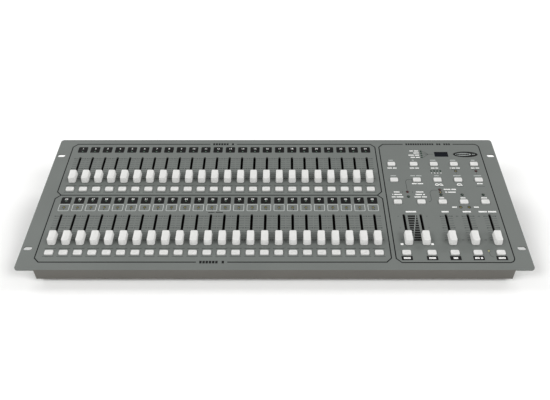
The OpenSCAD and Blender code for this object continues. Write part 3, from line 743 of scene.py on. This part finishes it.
@dataclass
class PresetPrint:
    """What is printed around the two preset banks.

    Attributes:
        rows: v of the outlines' bottom, shared and top lines.
        lamp_ring: width, height, corner and line of the grey ring round a scene lamp, painted shade of its hole.
        digits: height of the numbers on the plates and in the scene boxes.
        digit_shift: how far those numbers stand over the middle of their plate or box.
        button_marks: distance from a button's middle, and ink, of the lines under and over it.
    """

    first_column: float = 40.6
    column_step: float = 20.0
    channels: int = 24
    left: float = 23.0
    right: float = 516.5
    rows: Sizes = (13.2, 140.0, 255.5)
    line: float = 1.6
    corner: float = 7.0
    label_gap: Span = (247.0, 290.0)
    title_letters: Span = (4.4, 4.4)
    scene_title: Place = (267.0, 105.0)
    scene_letters: Span = (1.7, 1.55)
    plate_rows: Span = (241.75, 129.0)
    plate_size: Sizes = (15.0, 13.3, 1.4)
    box_row: float = 114.6
    box_size: Sizes = (16.0, 13.6, 1.6)
    lamp_row: float = 115.0
    fader_rows: Span = (175.5, 52.5)
    button_rows: Span = (152.5, 29.5)
    lamp_ring: Sizes = (4.6, 4.6, 2.25, 0.42)
    digits: Span = (3.3, 3.0)
    digit_shift: Span = (2.7, -3.9)
    button_marks: tuple[tuple[float, Ink], ...] = ((-6.6, Ink.GREY), (7.8, Ink.BLACK))

    @property
    def columns(self) -> list[float]:
        """Return u of each channel."""
        return [self.first_column + self.column_step * k for k in range(self.channels)]

    def outlines(self, ink: Print) -> None:
        """Print the two banks' outlines, whose corners are cut and whose title lines have a gap."""
        low, shared, high = self.rows
        cut = self.corner
        for edge, inward, gap in zip((self.left, self.right), (cut, -cut), self.label_gap):
            over = [(gap, high), (edge + inward, high), (edge, high - cut), (edge, shared + cut)]
            under = [(edge, shared - cut), (edge, low + cut), (edge + inward, low), (gap, low)]
            waist = (edge + inward, shared)
            ink.stroke([*over, waist], self.line, Ink.BLACK)
            ink.stroke([waist, *under], self.line, Ink.BLACK)
        ink.stroke([(self.left + cut, shared), (self.right - cut, shared)], self.line, Ink.BLACK)
        for v in (high, low):
            ink.words(sum(self.label_gap) / 2, v, (6, 1), Ink.BLACK, self.title_letters)
        ink.words(*self.scene_title, (6, 7), Ink.BLACK, self.scene_letters)

    def plates(self, ink: Print) -> None:
        """Print each channel's two number plates and its scene box, with a dark ring of painted shade round the box's
        lamp, where its hole would shade.
        """
        with template("number_plate") as mesh:
            Print(mesh=mesh).plate(0.0, 0.0, *self.plate_size, Ink.BLACK)
        with template("scene_box") as mesh:
            Print(mesh=mesh).ring(0.0, 0.0, *self.box_size, 0.85, Ink.PALE)
        on_plate = ink.over()
        plate_digits, box_digits = zip(self.digit_shift, self.digits)
        for k, u in enumerate(self.columns):
            for bank, v in enumerate(self.plate_rows):
                stamp("number_plate", [(u, v)], ink.mesh)
                number = k + 1 + bank * self.channels
                on_plate.numeral(number, u, v + plate_digits[0], plate_digits[1], Ink.WHITE)
            stamp("scene_box", [(u, self.box_row)], ink.mesh)
            # A grey ring of painted shade round the lamp, where its hole would shade.
            ink.ring(u, self.lamp_row, *self.lamp_ring, Ink.GREY)
            ink.numeral(k + 1, u, self.box_row + box_digits[0], box_digits[1], Ink.BLACK)

    def scales(self, ink: Print) -> None:
        """Print the ten-step scale on both sides of every slot, and the lines above and below each button."""
        with template("fader_scale") as mesh:
            SCALE.draw(Print(mesh=mesh))
        with template("button_lines") as mesh:
            marks = Print(mesh=mesh)
            for v, tone in self.button_marks:
                marks.bar(0.0, v, 16.0, 0.6, tone)
        for name, rows in (("fader_scale", self.fader_rows), ("button_lines", self.button_rows)):
            stamp(name, [(u, v) for u in self.columns for v in rows], ink.mesh)

    def build(self, slope: Slope) -> None:
        """Make the banks' print."""
        sheets = {"bank_outlines": self.outlines, "bank_plates": self.plates, "bank_scales": self.scales}
        print_sheets(sheets, slope)


@dataclass
class ControlPrint:
    """What is printed around the control section's buttons, lamps and faders.

    Attributes:
        lamp_ring: width, height, corner and line of the black ring round a lamp, painted shade of its hole.
        caption_rows: v of each row of captions, and each button's words, counted in blocks.
        pale_rows: the rows that are printed small and pale.
        mode_names: v and words of the four names that end at mode_edge.
        rules: v of a thin rule under the captions, and the first button that has one.
        sign_rings: the rings of the two pictograms, whose feet are sign_feet.
        lead_meet: where the leads from the mode lamps meet.
        plate: v, width and height of the black plates under the lowest buttons.
        tag: v, width, height and corner of the two white tags beside the crossfaders.
    """

    left: float = 523.0
    right: float = 686.5
    low: float = 12.5
    high: float = 255.5
    line: float = 1.6
    thin: float = 0.45
    cut: float = 7.0
    corner: float = 8.0
    title_gap: Span = (563.0, 645.0)
    title_letters: Span = (3.8, 3.9)
    button_columns: Sizes = (538.7, 574.0, 606.0, 638.0, 670.0)
    fader_columns: Sizes = (544.0, 568.8, 606.0, 638.0, 670.0)
    fader_row: float = 52.5
    fader_names: tuple[str, ...] = ("crossfader_a", "crossfader_b", "speed_fader", "fade_fader", "master_fader")
    button_rows: tuple[tuple[str, float], ...] = (
        ("mode_buttons", 208.0), ("select_buttons", 172.5), ("step_buttons", 126.0), ("flash_buttons", 29.5),
    )
    red_lamps: tuple[Place, ...] = ((670.0, 192.5), (556.0, 147.0), (606.0, 151.6))
    yellow_lamps: tuple[Place, ...] = ((638.0, 192.5), (606.0, 146.3), (631.0, 115.5), (643.5, 115.5))
    green_lamps: tuple[Place, ...] = ((556.0, 137.0), (606.0, 141.0), (638.0, 141.0), (670.0, 141.0))
    mode_lamps: tuple[Place, ...] = ((590.0, 238.5), (590.0, 234.0), (590.0, 229.0), (590.0, 224.0))
    scene_lamps: tuple[Place, ...] = ((599.5, 192.5), (604.3, 192.5), (609.1, 192.5), (613.9, 192.5))
    hold_lamp: Place = (654.0, 33.0)
    lamp_ring: Sizes = (5.0, 5.0, 2.45, 0.64)
    caption_rows: tuple[tuple[float, tuple[Words, ...]], ...] = (
        (217.3, ((5,), (2,), (6,), (6,), (4,))),
        (199.2, ((5, 4), (5, 4), (4, 3), (1, 4, 4), (4, 4))),
        (181.9, ((6,), (5, 6), (5,), (8,), (8,))),
        (164.6, ((), (5, 6), (), (), (6,))),
        (134.4, ((), (), (5,), (5,), (6,))),
    )
    pale_rows: Sizes = (217.3, 181.9)
    pale_letters: Span = (1.8, 1.45)
    captions: tuple[Caption, ...] = (
        (539.5, 146.8, (6,)), (539.5, 141.5, (1, 8)), (539.5, 136.4, (4, 7)),
        (574.5, 146.8, (8,)), (574.5, 141.5, (7, 2)), (574.5, 136.4, (7, 5)),
        (621.5, 152.2, (7, 5)), (621.5, 146.4, (2, 8)), (621.6, 115.5, (5,)), (654.2, 115.5, (5,)),
    )
    mode_edge: float = 586.2
    mode_names: tuple[tuple[float, Words], ...] = ((239.2, (4, 5)), (234.3, (6,)), (229.2, (6, 5)), (224.0, (5, 4)))
    fader_captions: tuple[tuple[float, Words], ...] = ((555.5, (9,)), (606.0, (6,)), (638.0, (7,)), (668.5, (7, 7)))
    fader_caption_row: float = 106.3
    fader_letters: Span = (2.8, 1.75)
    rules: tuple[tuple[float, int], ...] = ((158.5, 2), (195.6, 3))
    sign_rings: tuple[Sizes, ...] = (
        (603.6, 162.6, 5.4, 4.6, 2.0, 1.1), (609.6, 162.6, 4.6, 4.2, 1.9, 1.0), (638.0, 162.6, 7.2, 4.6, 2.1, 1.2),
    )
    sign_feet: tuple[Sizes, ...] = ((611.6, 161.0, 3.4, 1.2, 0.4), (640.6, 161.0, 4.2, 1.2, 0.4))
    lead_meet: Place = (601.0, 231.25)
    badge_middle: Place = (661.0, 231.0)
    plate: Sizes = (20.2, 15.4, 7.2)
    plate_letters: Span = (3.0, 1.6)
    plate_captions: tuple[tuple[float, Words], ...] = (
        (538.3, (6,)), (573.3, (6,)), (605.5, (4,)), (637.5, (4, 2)), (669.5, (6,)),
    )
    tag_columns: Span = (534.4, 577.2)
    tag: Sizes = (45.0, 4.0, 3.2, 0.5)

    def outline(self, ink: Print) -> None:
        """Print the section's outline: cut corners at the left, round ones at the right."""
        left, low, high, cut = self.left, self.low, self.high, self.cut
        gap_left, gap_right = self.title_gap
        left_side = [(left + cut, high), (left, high - cut), (left, low + cut), (left + cut, low)]
        ink.stroke([(gap_left, high), *left_side], self.line, Ink.BLACK)
        turn = self.right - self.corner
        round_top = arc((turn, high - self.corner), self.corner, 90, 0)
        round_low = arc((turn, low + self.corner), self.corner, 0, -90)
        ink.stroke([(gap_right, high), *round_top, *round_low, (left + cut, low)], self.line, Ink.BLACK)
        ink.words(sum(self.title_gap) / 2, high, (12, 2, 3), Ink.BLACK, self.title_letters)

    def write(self, ink: Print) -> None:
        """Print blocks where the captions stand, above and below the buttons, beside the lamps and over the faders."""
        for v, row in self.caption_rows:
            for u, lengths in zip(self.button_columns, row):
                if v in self.pale_rows:
                    ink.words(u, v, lengths, Ink.PALE, self.pale_letters)
                else:
                    ink.words(u, v, lengths, Ink.WHITE)
        for u, v, lengths in self.captions:
            ink.words(u, v, lengths, Ink.WHITE)
        for v, lengths in self.mode_names:
            ink.words(self.mode_edge, v, lengths, Ink.WHITE, end=1.0)
        for u, lengths in self.fader_captions:
            ink.words(u, self.fader_caption_row, lengths, Ink.WHITE, self.fader_letters)
        for number, (u, v) in enumerate(self.scene_lamps, start=1):
            ink.numeral(number, u, v - 4.5, 2.8, Ink.WHITE)

    def marks(self, ink: Print) -> None:
        """Print the rules under captions, the pictograms, and the lines from lamps to what they belong to."""
        # A black ring of painted shade round each lamp, where its hole would shade.
        for u, v in (*self.red_lamps, *self.yellow_lamps, *self.green_lamps):
            ink.ring(u, v, *self.lamp_ring, Ink.BLACK)
        for v, first in self.rules:
            for u in self.button_columns[first:]:
                ink.bar(u, v, 13.0, self.thin, Ink.GREY)
        for ring in self.sign_rings:
            ink.ring(*ring, Ink.WHITE)
        for foot in self.sign_feet:
            ink.plate(*foot, Ink.WHITE)
        button_lead = [(568.0, 173.6), *arc((561.0, 168.6), 5.0, 90, 180), (556.0, 150.0)]
        bends = [*arc((584.0, 132.0), 6.0, -80, 0), *arc((596.0, 144.6), 6.0, 180, 90)]
        step_lead = [(585.0, 126.0), *bends, (602.0, 150.6)]
        for lead in (button_lead, step_lead):
            ink.stroke(lead, self.thin, Ink.BLACK)
        hold_lead = [(654.0, 30.5), *arc((659.0, 27.0), 5.0, 180, 270, 4)]
        display_lead = [self.lead_meet, (609.0, self.lead_meet[1])]
        for lead in (hold_lead, *([(u + 2.5, v), self.lead_meet] for u, v in self.mode_lamps), display_lead):
            ink.stroke(lead, self.thin, Ink.GREY)
        for u in self.button_columns[3:]:
            ink.bar(u, 188.5, self.thin, 6.0, Ink.GREY)
        for u in (548.5, 563.5):
            ink.bar(u, 146.5, 0.5, 3.2, Ink.GREY)
        self.badge(ink)

    def badge(self, ink: Print) -> None:
        """Print the plain oval badge beside the display: a black rim, a pale field and a row of blocks across it."""
        u, v = self.badge_middle
        ink.oval(u, v, 20.0, 6.6, Ink.BLACK)
        pale = ink.over()
        pale.oval(u - 3.6, v, 12.8, 3.3, Ink.SILVER)
        pale.words(u + 13.0, v, (2,), Ink.SILVER, (1.9, 2.4))
        letters = pale.over()
        letters.words(u - 4.4, v, (8,), Ink.BLACK, (3.0, 2.6))
        letters.bar(u - 4.4, v, 22.0, 1.0, Ink.BLACK)

    def plates(self, ink: Print) -> None:
        """Print the black plates under the lowest buttons, and the two white tags of the crossfaders."""
        raised = ink.over()
        v, width, height = self.plate
        for u, lengths in self.plate_captions:
            ink.bar(u, v, width, height, Ink.BLACK)
            raised.words(u, v, lengths, Ink.WHITE, self.plate_letters)
        for u in self.tag_columns:
            ink.plate(u, *self.tag, Ink.WHITE)

    def crossfade_wedge(self, ink: Print) -> None:
        """Print the barred wedge between the crossfaders, split by a slanting gap."""
        left, right, gap, margin = 549.4, 563.4, 1.6, 2.0
        for step, up in SCALE.heights():
            split = left + margin + (right - left - 2 * margin) * step / SCALE.steps
            for start, end in ((left, split - gap / 2), (split + gap / 2, right)):
                ink.bar((start + end) / 2, self.fader_row + up, end - start, 3.3, Ink.BLACK)
        foot = (left + margin, self.fader_row - margin)
        head = (right - margin, self.fader_row + SCALE.travel + margin)
        ink.stroke([foot, head], 0.6, Ink.SILVER)

    def scales(self, ink: Print) -> None:
        """Press the fader scale beside the three plain faders and the outer sides of the crossfaders."""
        stamp("fader_scale", [(u, self.fader_row) for u in self.fader_columns[2:]], ink.mesh)
        for _, up in SCALE.heights(5):
            for u in (535.5, 577.4):
                ink.bar(u, self.fader_row + up, 2.2, 0.5, Ink.BLACK)
        for u in (622.0, 654.0):
            for _, up in SCALE.heights(SCALE.steps):
                ink.bar(u, self.fader_row + up, 3.6, 0.9, Ink.GREY)

    def build(self, slope: Slope) -> None:
        """Make the control section's print."""
        sheets = {
            "control_outline": self.outline,
            "control_captions": self.write,
            "control_marks": self.marks,
            "control_plates": self.plates,
            "crossfade_wedge": self.crossfade_wedge,
            "control_scales": self.scales,
        }
        print_sheets(sheets, slope)


@dataclass
class RearWall:
    """What is printed round the rear sockets, and the coloured inserts of the two audio inputs.

    Attributes:
        sockets: height of the sockets' middles, in millimetres over the floor.
        groups: x of each group's middle, its frame's width, its title's blocks.
        singles: x of each socket, and its caption's blocks.
    """

    sockets: float = 40.0
    frame_height: float = 37.0
    line: float = 0.7
    corner: float = 3.0
    title_rise: float = 3.4
    title_letters: Span = (2.6, 1.9)
    caption_drop: float = 13.5
    caption_letters: Span = (2.0, 1.45)
    groups: tuple[Caption, ...] = (
        (281.5, 56.0, (5, 5)), (210.0, 78.0, (3, 6)), (102.0, 76.0, (4,)), (24.0, 66.0, (6, 5)),
    )
    singles: tuple[tuple[float, Words], ...] = (
        (158.0, (8,)), (76.0, (2,)), (102.0, (4,)), (128.0, (3,)), (44.0, (6,)), (12.0, (5,)),
    )
    inserts: tuple[tuple[float, Finish], ...] = ((4.0, PHONO_RED), (20.0, PHONO_WHITE))
    insert_radii: Span = (1.62, 2.76)
    insert_ends: Span = (7.9, 8.2)

    def matrix(self, wall_y: float) -> Matrix:
        """Return the matrix from the wall's own millimetres (left is the desk's right) to the row frame."""
        turn = Matrix(((-1, 0, 0, 0), (0, 0, 1, 0), (0, 1, 0, 0), (0, 0, 0, 1)))
        return Matrix.Translation((0.0, wall_y, 0.0)) @ turn @ Matrix.Scale(MM, 4)

    def draw(self, ink: Print) -> None:
        """Print the frames, the titles over them, and the captions under the single sockets."""
        for x, width, lengths in self.groups:
            ink.ring(-x, self.sockets, width, self.frame_height, self.corner, self.line, Ink.WHITE)
            title = self.sockets + self.frame_height / 2 + self.title_rise
            ink.words(-x, title, lengths, Ink.WHITE, self.title_letters)
        for x, lengths in self.singles:
            ink.words(-x, self.sockets - self.caption_drop, lengths, Ink.WHITE, self.caption_letters)

    def build(self) -> None:
        """Make the rear print and the inserts."""
        place = self.matrix(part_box("base_tray")[1][1])
        ink = Print()
        self.draw(ink)
        ink.lay("rear_captions", place)
        for number, (x, finish) in enumerate(self.inserts, start=1):
            mesh = bmesh.new()
            back, front = self.insert_ends
            inner, outer = self.insert_radii
            lathe(mesh, [(inner, back), (inner, front), (outer, front), (outer, back), (inner, back)])
            bmesh.ops.translate(mesh, vec=(-x, self.sockets, 0.0), verts=mesh.verts)
            Piece(f"audio_insert_{number}", "root", "black_socket", (finish,)).make(mesh, place)


# --- Fader caps and buttons --------------------------------------------------------------------------


@dataclass
class FaderCap:
    """A white cap pushed on a steel lever: its ends slope out to the panel, and its top dips for the fingertip.

    Attributes:
        flare: how far its sides and its ends spread towards the panel.
        nose: the same for the sides of its front end, which draws in.
        corners: radius of its front and its rear corners.
        rim_angle: the least angle of an edge that is rounded round the top, in degrees.
        slack: how far a point may be off and still count as on the top.
    """

    width: float = 10.0
    length: float = 18.0
    height: float = 9.8
    gap: float = 1.2
    flare: Span = (0.2, 1.25)
    nose: float = -0.55
    dip: float = 1.1
    corners: Span = (2.9, 1.6)
    rim: float = 0.7
    rim_angle: float = 50.0
    cuts: int = 5
    slack: float = 0.01
    lever: Span = (1.2, 4.5)
    lever_top: float = 8.5
    carriage: Sizes = (5.6, 8.0, 2.6)
    carriage_low: float = -12.6

    def shape(self, mesh: Mesh) -> None:
        """Shape the cap around the lever's place."""
        middle = self.gap + self.height / 2
        corners = block(mesh, (self.width, self.length, self.height), (0.0, 0.0, middle))
        for vert in corners:
            if vert.co.z < middle:
                vert.co.x += math.copysign(self.nose if vert.co.y < 0 else self.flare[0], vert.co.x)
                vert.co.y += math.copysign(self.flare[1], vert.co.y)
        for radius, end in zip(self.corners, (-1, 1)):
            edges = [edge for edge in mesh.edges if upright(edge) and end * edge.verts[0].co.y > self.length / 4]
            round_edges(mesh, edges, radius, 4)
        inner = self.length / 2 - self.corners[0] - self.flare[0]
        for cut in range(self.cuts):
            along = -inner + 2 * inner * cut / (self.cuts - 1)
            geometry = [*mesh.verts, *mesh.edges, *mesh.faces]
            bmesh.ops.bisect_plane(mesh, geom=geometry, plane_co=(0.0, along, 0.0), plane_no=(0.0, 1.0, 0.0))
        top = self.gap + self.height
        for vert in mesh.verts:
            if vert.co.z > top - self.slack:
                vert.co.z -= self.dip * max(0.0, 1 - (vert.co.y / (self.length / 2)) ** 2)
        rim = [
            edge
            for edge in mesh.edges
            if len(edge.link_faces) == 2
            and min(vert.co.z for vert in edge.verts) > top - self.dip - self.slack
            and edge.calc_face_angle(0.0) > math.radians(self.rim_angle)
        ]
        round_edges(mesh, rim, self.rim, 2)

    def stem(self, mesh: Mesh) -> None:
        """Shape the steel lever, which shows in the slot, and the carriage under the panel."""
        low = self.carriage_low + self.carriage[2]
        block(mesh, (*self.lever, self.lever_top - low), (0.0, 0.0, (self.lever_top + low) / 2))
        block(mesh, self.carriage, (0.0, 0.0, self.carriage_low + self.carriage[2] / 2))


@dataclass
class Button:
    """A white key that stands a little out of its hole, with a soft rim, a shallow dish and a skirt underneath."""

    width: float = 12.0
    depth: float = 8.0
    proud: float = 1.8
    skirt: float = -3.3
    corner: float = 1.9
    rim: float = 0.55
    dish: float = 0.22
    dish_steps: Span = (0.5, 1.0)
    flange: Sizes = (14.0, 10.0, 1.0)
    stem: float = 3.2
    stem_end: float = -11.9

    def shape(self, mesh: Mesh) -> None:
        """Shape the key, its flange and its stem."""
        low = self.skirt + self.flange[2]
        block(mesh, (self.width, self.depth, self.proud - low), (0.0, 0.0, (self.proud + low) / 2))
        round_edges(mesh, [edge for edge in mesh.edges if upright(edge)], self.corner, 4)
        top = max(mesh.faces, key=lambda face: face.calc_center_median().z)
        round_edges(mesh, list(top.edges), self.rim, 3)
        top = max(mesh.faces, key=lambda face: (face.calc_center_median().z, face.calc_area()))
        bmesh.ops.inset_region(mesh, faces=[top], thickness=self.dish_steps[0], depth=0.0)
        bmesh.ops.inset_region(mesh, faces=[top], thickness=self.dish_steps[1], depth=-self.dish)
        block(mesh, self.flange, (0.0, 0.0, self.skirt + self.flange[2] / 2))
        rod = self.skirt - self.stem_end
        block(mesh, (self.stem, self.stem, rod), (0.0, 0.0, self.stem_end + rod / 2))


@dataclass
class Controls:
    """Every fader cap, lever and button, each made on the body that carries it, at the places that the print gives."""

    banks: PresetPrint
    control: ControlPrint
    faders_each: int = 4
    buttons_each: int = 8
    cap: FaderCap = field(default_factory=FaderCap)
    button: Button = field(default_factory=Button)

    def bank_places(self, kind: str, rows: Span, each: int) -> dict[str, list[Place]]:
        """Return the places of the two banks' bodies of a kind, which hold each that many."""
        places: dict[str, list[Place]] = {}
        for bank, v in zip("ab", rows):
            for k, u in enumerate(self.banks.columns):
                places.setdefault(f"{kind}_{bank}{k // each + 1}", []).append((u, v))
        return places

    def fader_places(self) -> dict[str, list[Place]]:
        """Return each fader body's places."""
        places = self.bank_places("faders", self.banks.fader_rows, self.faders_each)
        for body, u in zip(self.control.fader_names, self.control.fader_columns):
            places[body] = [(u, self.control.fader_row)]
        return places

    def button_places(self) -> dict[str, list[Place]]:
        """Return each button body's places."""
        places = self.bank_places("bump_buttons", self.banks.button_rows, self.buttons_each)
        for body, v in self.control.button_rows:
            places[body] = [(u, v) for u in self.control.button_columns]
        return places

    def build(self, slope: Slope) -> None:
        """Make the caps, levers and buttons."""
        for name, shape in (("cap", self.cap.shape), ("lever", self.cap.stem), ("button", self.button.shape)):
            with template(name) as mesh:
                shape(mesh)
        for body, places in self.fader_places().items():
            for part, finish, slot in (("cap", CAP_WHITE, "white_cap"), ("lever", ZINC, "zinc_steel")):
                stands_for = (body,) if part == "cap" else ()
                piece = Piece(f"{body}_{part}s", body, slot, (finish,), stands_for, Hem.SOFT)
                piece.make(stamp(part, places), slope.matrix())
        for body, places in self.button_places().items():
            piece = Piece(f"{body}_keys", body, "white_button", (BUTTON_WHITE,), (body,), Hem.SOFT)
            piece.make(stamp("button", places), slope.matrix())


# --- Lamps ---------------------------------------------------------------------------------------------


@dataclass
class Lamps:
    """The small round lamps, whose domed lenses stand just out of the panel at the places that the print gives."""

    banks: PresetPrint
    control: ControlPrint
    radius: float = 1.5
    top: float = 0.5
    base: float = -5.0
    plate_lamp_rows: Span = (238.0, 128.0)

    def lens(self, mesh: Mesh) -> None:
        """Shape one lens as half a ball on a straight side."""
        rise = self.radius * 0.8
        angles = [math.radians(18 * k) for k in range(6)]
        dome = [(self.radius * math.sin(a), self.top - rise + rise * math.cos(a)) for a in angles]
        lathe(mesh, [*dome, (self.radius, self.base), (0.0, self.base)], 14)

    def build(self, slope: Slope) -> None:
        """Make the lamps of each colour."""
        with template("lens") as mesh:
            self.lens(mesh)
        columns, control = self.banks.columns, self.control
        on_plates = [(u, v) for v in self.plate_lamp_rows for u in columns]
        in_boxes = [(u, self.banks.lamp_row) for u in columns]
        green = [*control.green_lamps, *control.mode_lamps, *control.scene_lamps]
        sets = (
            ("channel_lamps", on_plates, LAMP_SAGE, "green_led", ("green_leds",)),
            ("green_status_lamps", green, LAMP_GREEN, "green_led", ()),
            ("yellow_lamps", [*in_boxes, *control.yellow_lamps], LAMP_YELLOW, "yellow_led", ("yellow_leds",)),
            ("hold_lamp", [control.hold_lamp], LAMP_PALE, "yellow_led", ()),
            ("red_lamps", control.red_lamps, LAMP_RED, "red_led", ("red_leds",)),
        )
        for name, places, finish, slot, stands_for in sets:
            piece = Piece(name, "root", slot, (finish,), stands_for, Hem.SOFT)
            piece.make(stamp("lens", places), slope.matrix())


# --- Studio ------------------------------------------------------------------------------------------


@dataclass(frozen=True)
class SoftSun:
    """A distant soft light.

    Attributes:
        side: where it stands, in degrees from straight in front, to the right.
        height: how far it stands over the horizon, in degrees.
        softness: how wide it looks, in degrees.
    """

    name: str
    strength: float
    side: float
    height: float = 36.0
    softness: float = 32.0

    def build(self) -> None:
        """Make the light."""
        lamp = bpy.data.lights.new(self.name, "SUN")
        lamp.energy = self.strength
        lamp.angle = math.radians(self.softness)
        light = bpy.data.objects.new(self.name, lamp)
        light.rotation_euler = (math.radians(90 - self.height), 0.0, math.radians(self.side))
        bpy.context.scene.collection.objects.link(light)


@dataclass
class Studio:
    """A pale floor, soft light from both sides of the front and a little from behind, and the camera.

    Attributes:
        eye: the camera's place over the panel, in the panel's own millimetres.
        down: how far the camera looks below the horizon, in degrees.
    """

    eye: Sizes = (368.6, -545.7, 719.4)
    down: float = 30.0
    lens: float = 42.85
    sensor: float = 36.0
    shift: Span = (-0.0172, -0.0789)
    clip: Span = (0.05, 50.0)
    floor_colour: str = "#fbfbfa"
    floor_size: float = 12.0
    sky: float = 0.25
    suns: tuple[SoftSun, ...] = (
        SoftSun("left_key", 1.6, -52.0), SoftSun("right_key", 1.6, 52.0),
        SoftSun("left_rear_fill", 0.9, -125.0), SoftSun("right_rear_fill", 0.9, 125.0),
    )

    def floor(self) -> None:
        """Lay the floor."""
        mesh = bmesh.new()
        bmesh.ops.create_grid(mesh, x_segments=1, y_segments=1, size=self.floor_size / 2)
        data = bpy.data.meshes.new("floor")
        mesh.to_mesh(data)
        mesh.free()
        data.materials.append(Finish("pale_floor", self.floor_colour, 0.7).material())
        floor = bpy.data.objects.new("floor", data)
        bpy.context.scene.collection.objects.link(floor)

    def light(self) -> None:
        """Set the room's own light, which the camera sees as plain white, and the suns."""
        world = bpy.data.worlds.new("studio")
        world.use_nodes = True
        background = world.node_tree.nodes["Background"]
        background.inputs["Color"].default_value = (1.0, 1.0, 1.0, 1.0)
        seen = add_node(world.node_tree, "ShaderNodeLightPath", {}, {}).outputs["Is Camera Ray"]
        ends = {"Value": seen, "To Min": self.sky, "To Max": 1.0}
        strength = add_node(world.node_tree, "ShaderNodeMapRange", {}, ends).outputs["Result"]
        world.node_tree.links.new(strength, background.inputs["Strength"])
        bpy.context.scene.world = world
        for sun in self.suns:
            sun.build()

    def camera(self, slope: Slope) -> None:
        """Set the camera over the panel's front edge."""
        data = bpy.data.cameras.new("camera")
        data.lens = self.lens
        data.sensor_width = self.sensor
        data.shift_x, data.shift_y = self.shift
        data.clip_start, data.clip_end = self.clip
        camera = bpy.data.objects.new("camera", data)
        camera.location = slope.matrix() @ Vector(self.eye)
        camera.rotation_euler = (math.radians(90 - self.down), 0.0, 0.0)
        bpy.context.scene.collection.objects.link(camera)
        bpy.context.scene.camera = camera

    def build(self, slope: Slope) -> None:
        """Make the studio."""
        self.camera(slope)
        self.floor()
        self.light()
        bpy.context.scene.view_settings.view_transform = "Standard"


def dress_nodes(frame: dict[str, Any]) -> None:
    """Give each CAD node that stays its finish."""
    for finish, names in NODE_FINISHES.items():
        for name in names:
            for slot in frame["nodes"][name].material_slots:
                slot.material = finish.material()


def paint_skirt(panel: bpy.types.Object, forward: float = 0.9) -> None:
    """Paint the panel's forward-facing skirt in the tray's darker warm grey, as painted shade; the ears' edges, outside
    the tray, keep their colour.

    Args:
        panel: the top panel.
        forward: how squarely a face looks forward to count as the skirt.
    """
    panel.data.materials.append(HOUSING_PAINT_AND_SKIRT_SHADE.material())
    last = len(panel.data.materials) - 1
    half_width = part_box("base_tray")[1][0] + MM
    for face in panel.data.polygons:
        # Faces of the panel that look forward get the darker warm grey as painted shade.
        if -face.normal.y > forward and abs(face.center.x) < half_width:
            face.material_index = last


def main() -> None:
    """Load the frame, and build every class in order."""
    logging.basicConfig(level=logging.INFO, format="%(name)s %(message)s")
    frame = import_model()
    slope = Slope.find(frame)
    LOG.info("slope %.2f degrees, panel %.1f by %.1f mm", math.degrees(slope.tilt), slope.width, slope.depth)
    Studio().build(slope)
    dress_nodes(frame)
    paint_skirt(frame["nodes"]["top_panel"])
    banks, control = PresetPrint(), ControlPrint()
    banks.build(slope)
    control.build(slope)
    Controls(banks, control).build(slope)
    Lamps(banks, control).build(slope)
    RearWall().build()


if __name__ == "__main__":
    main()
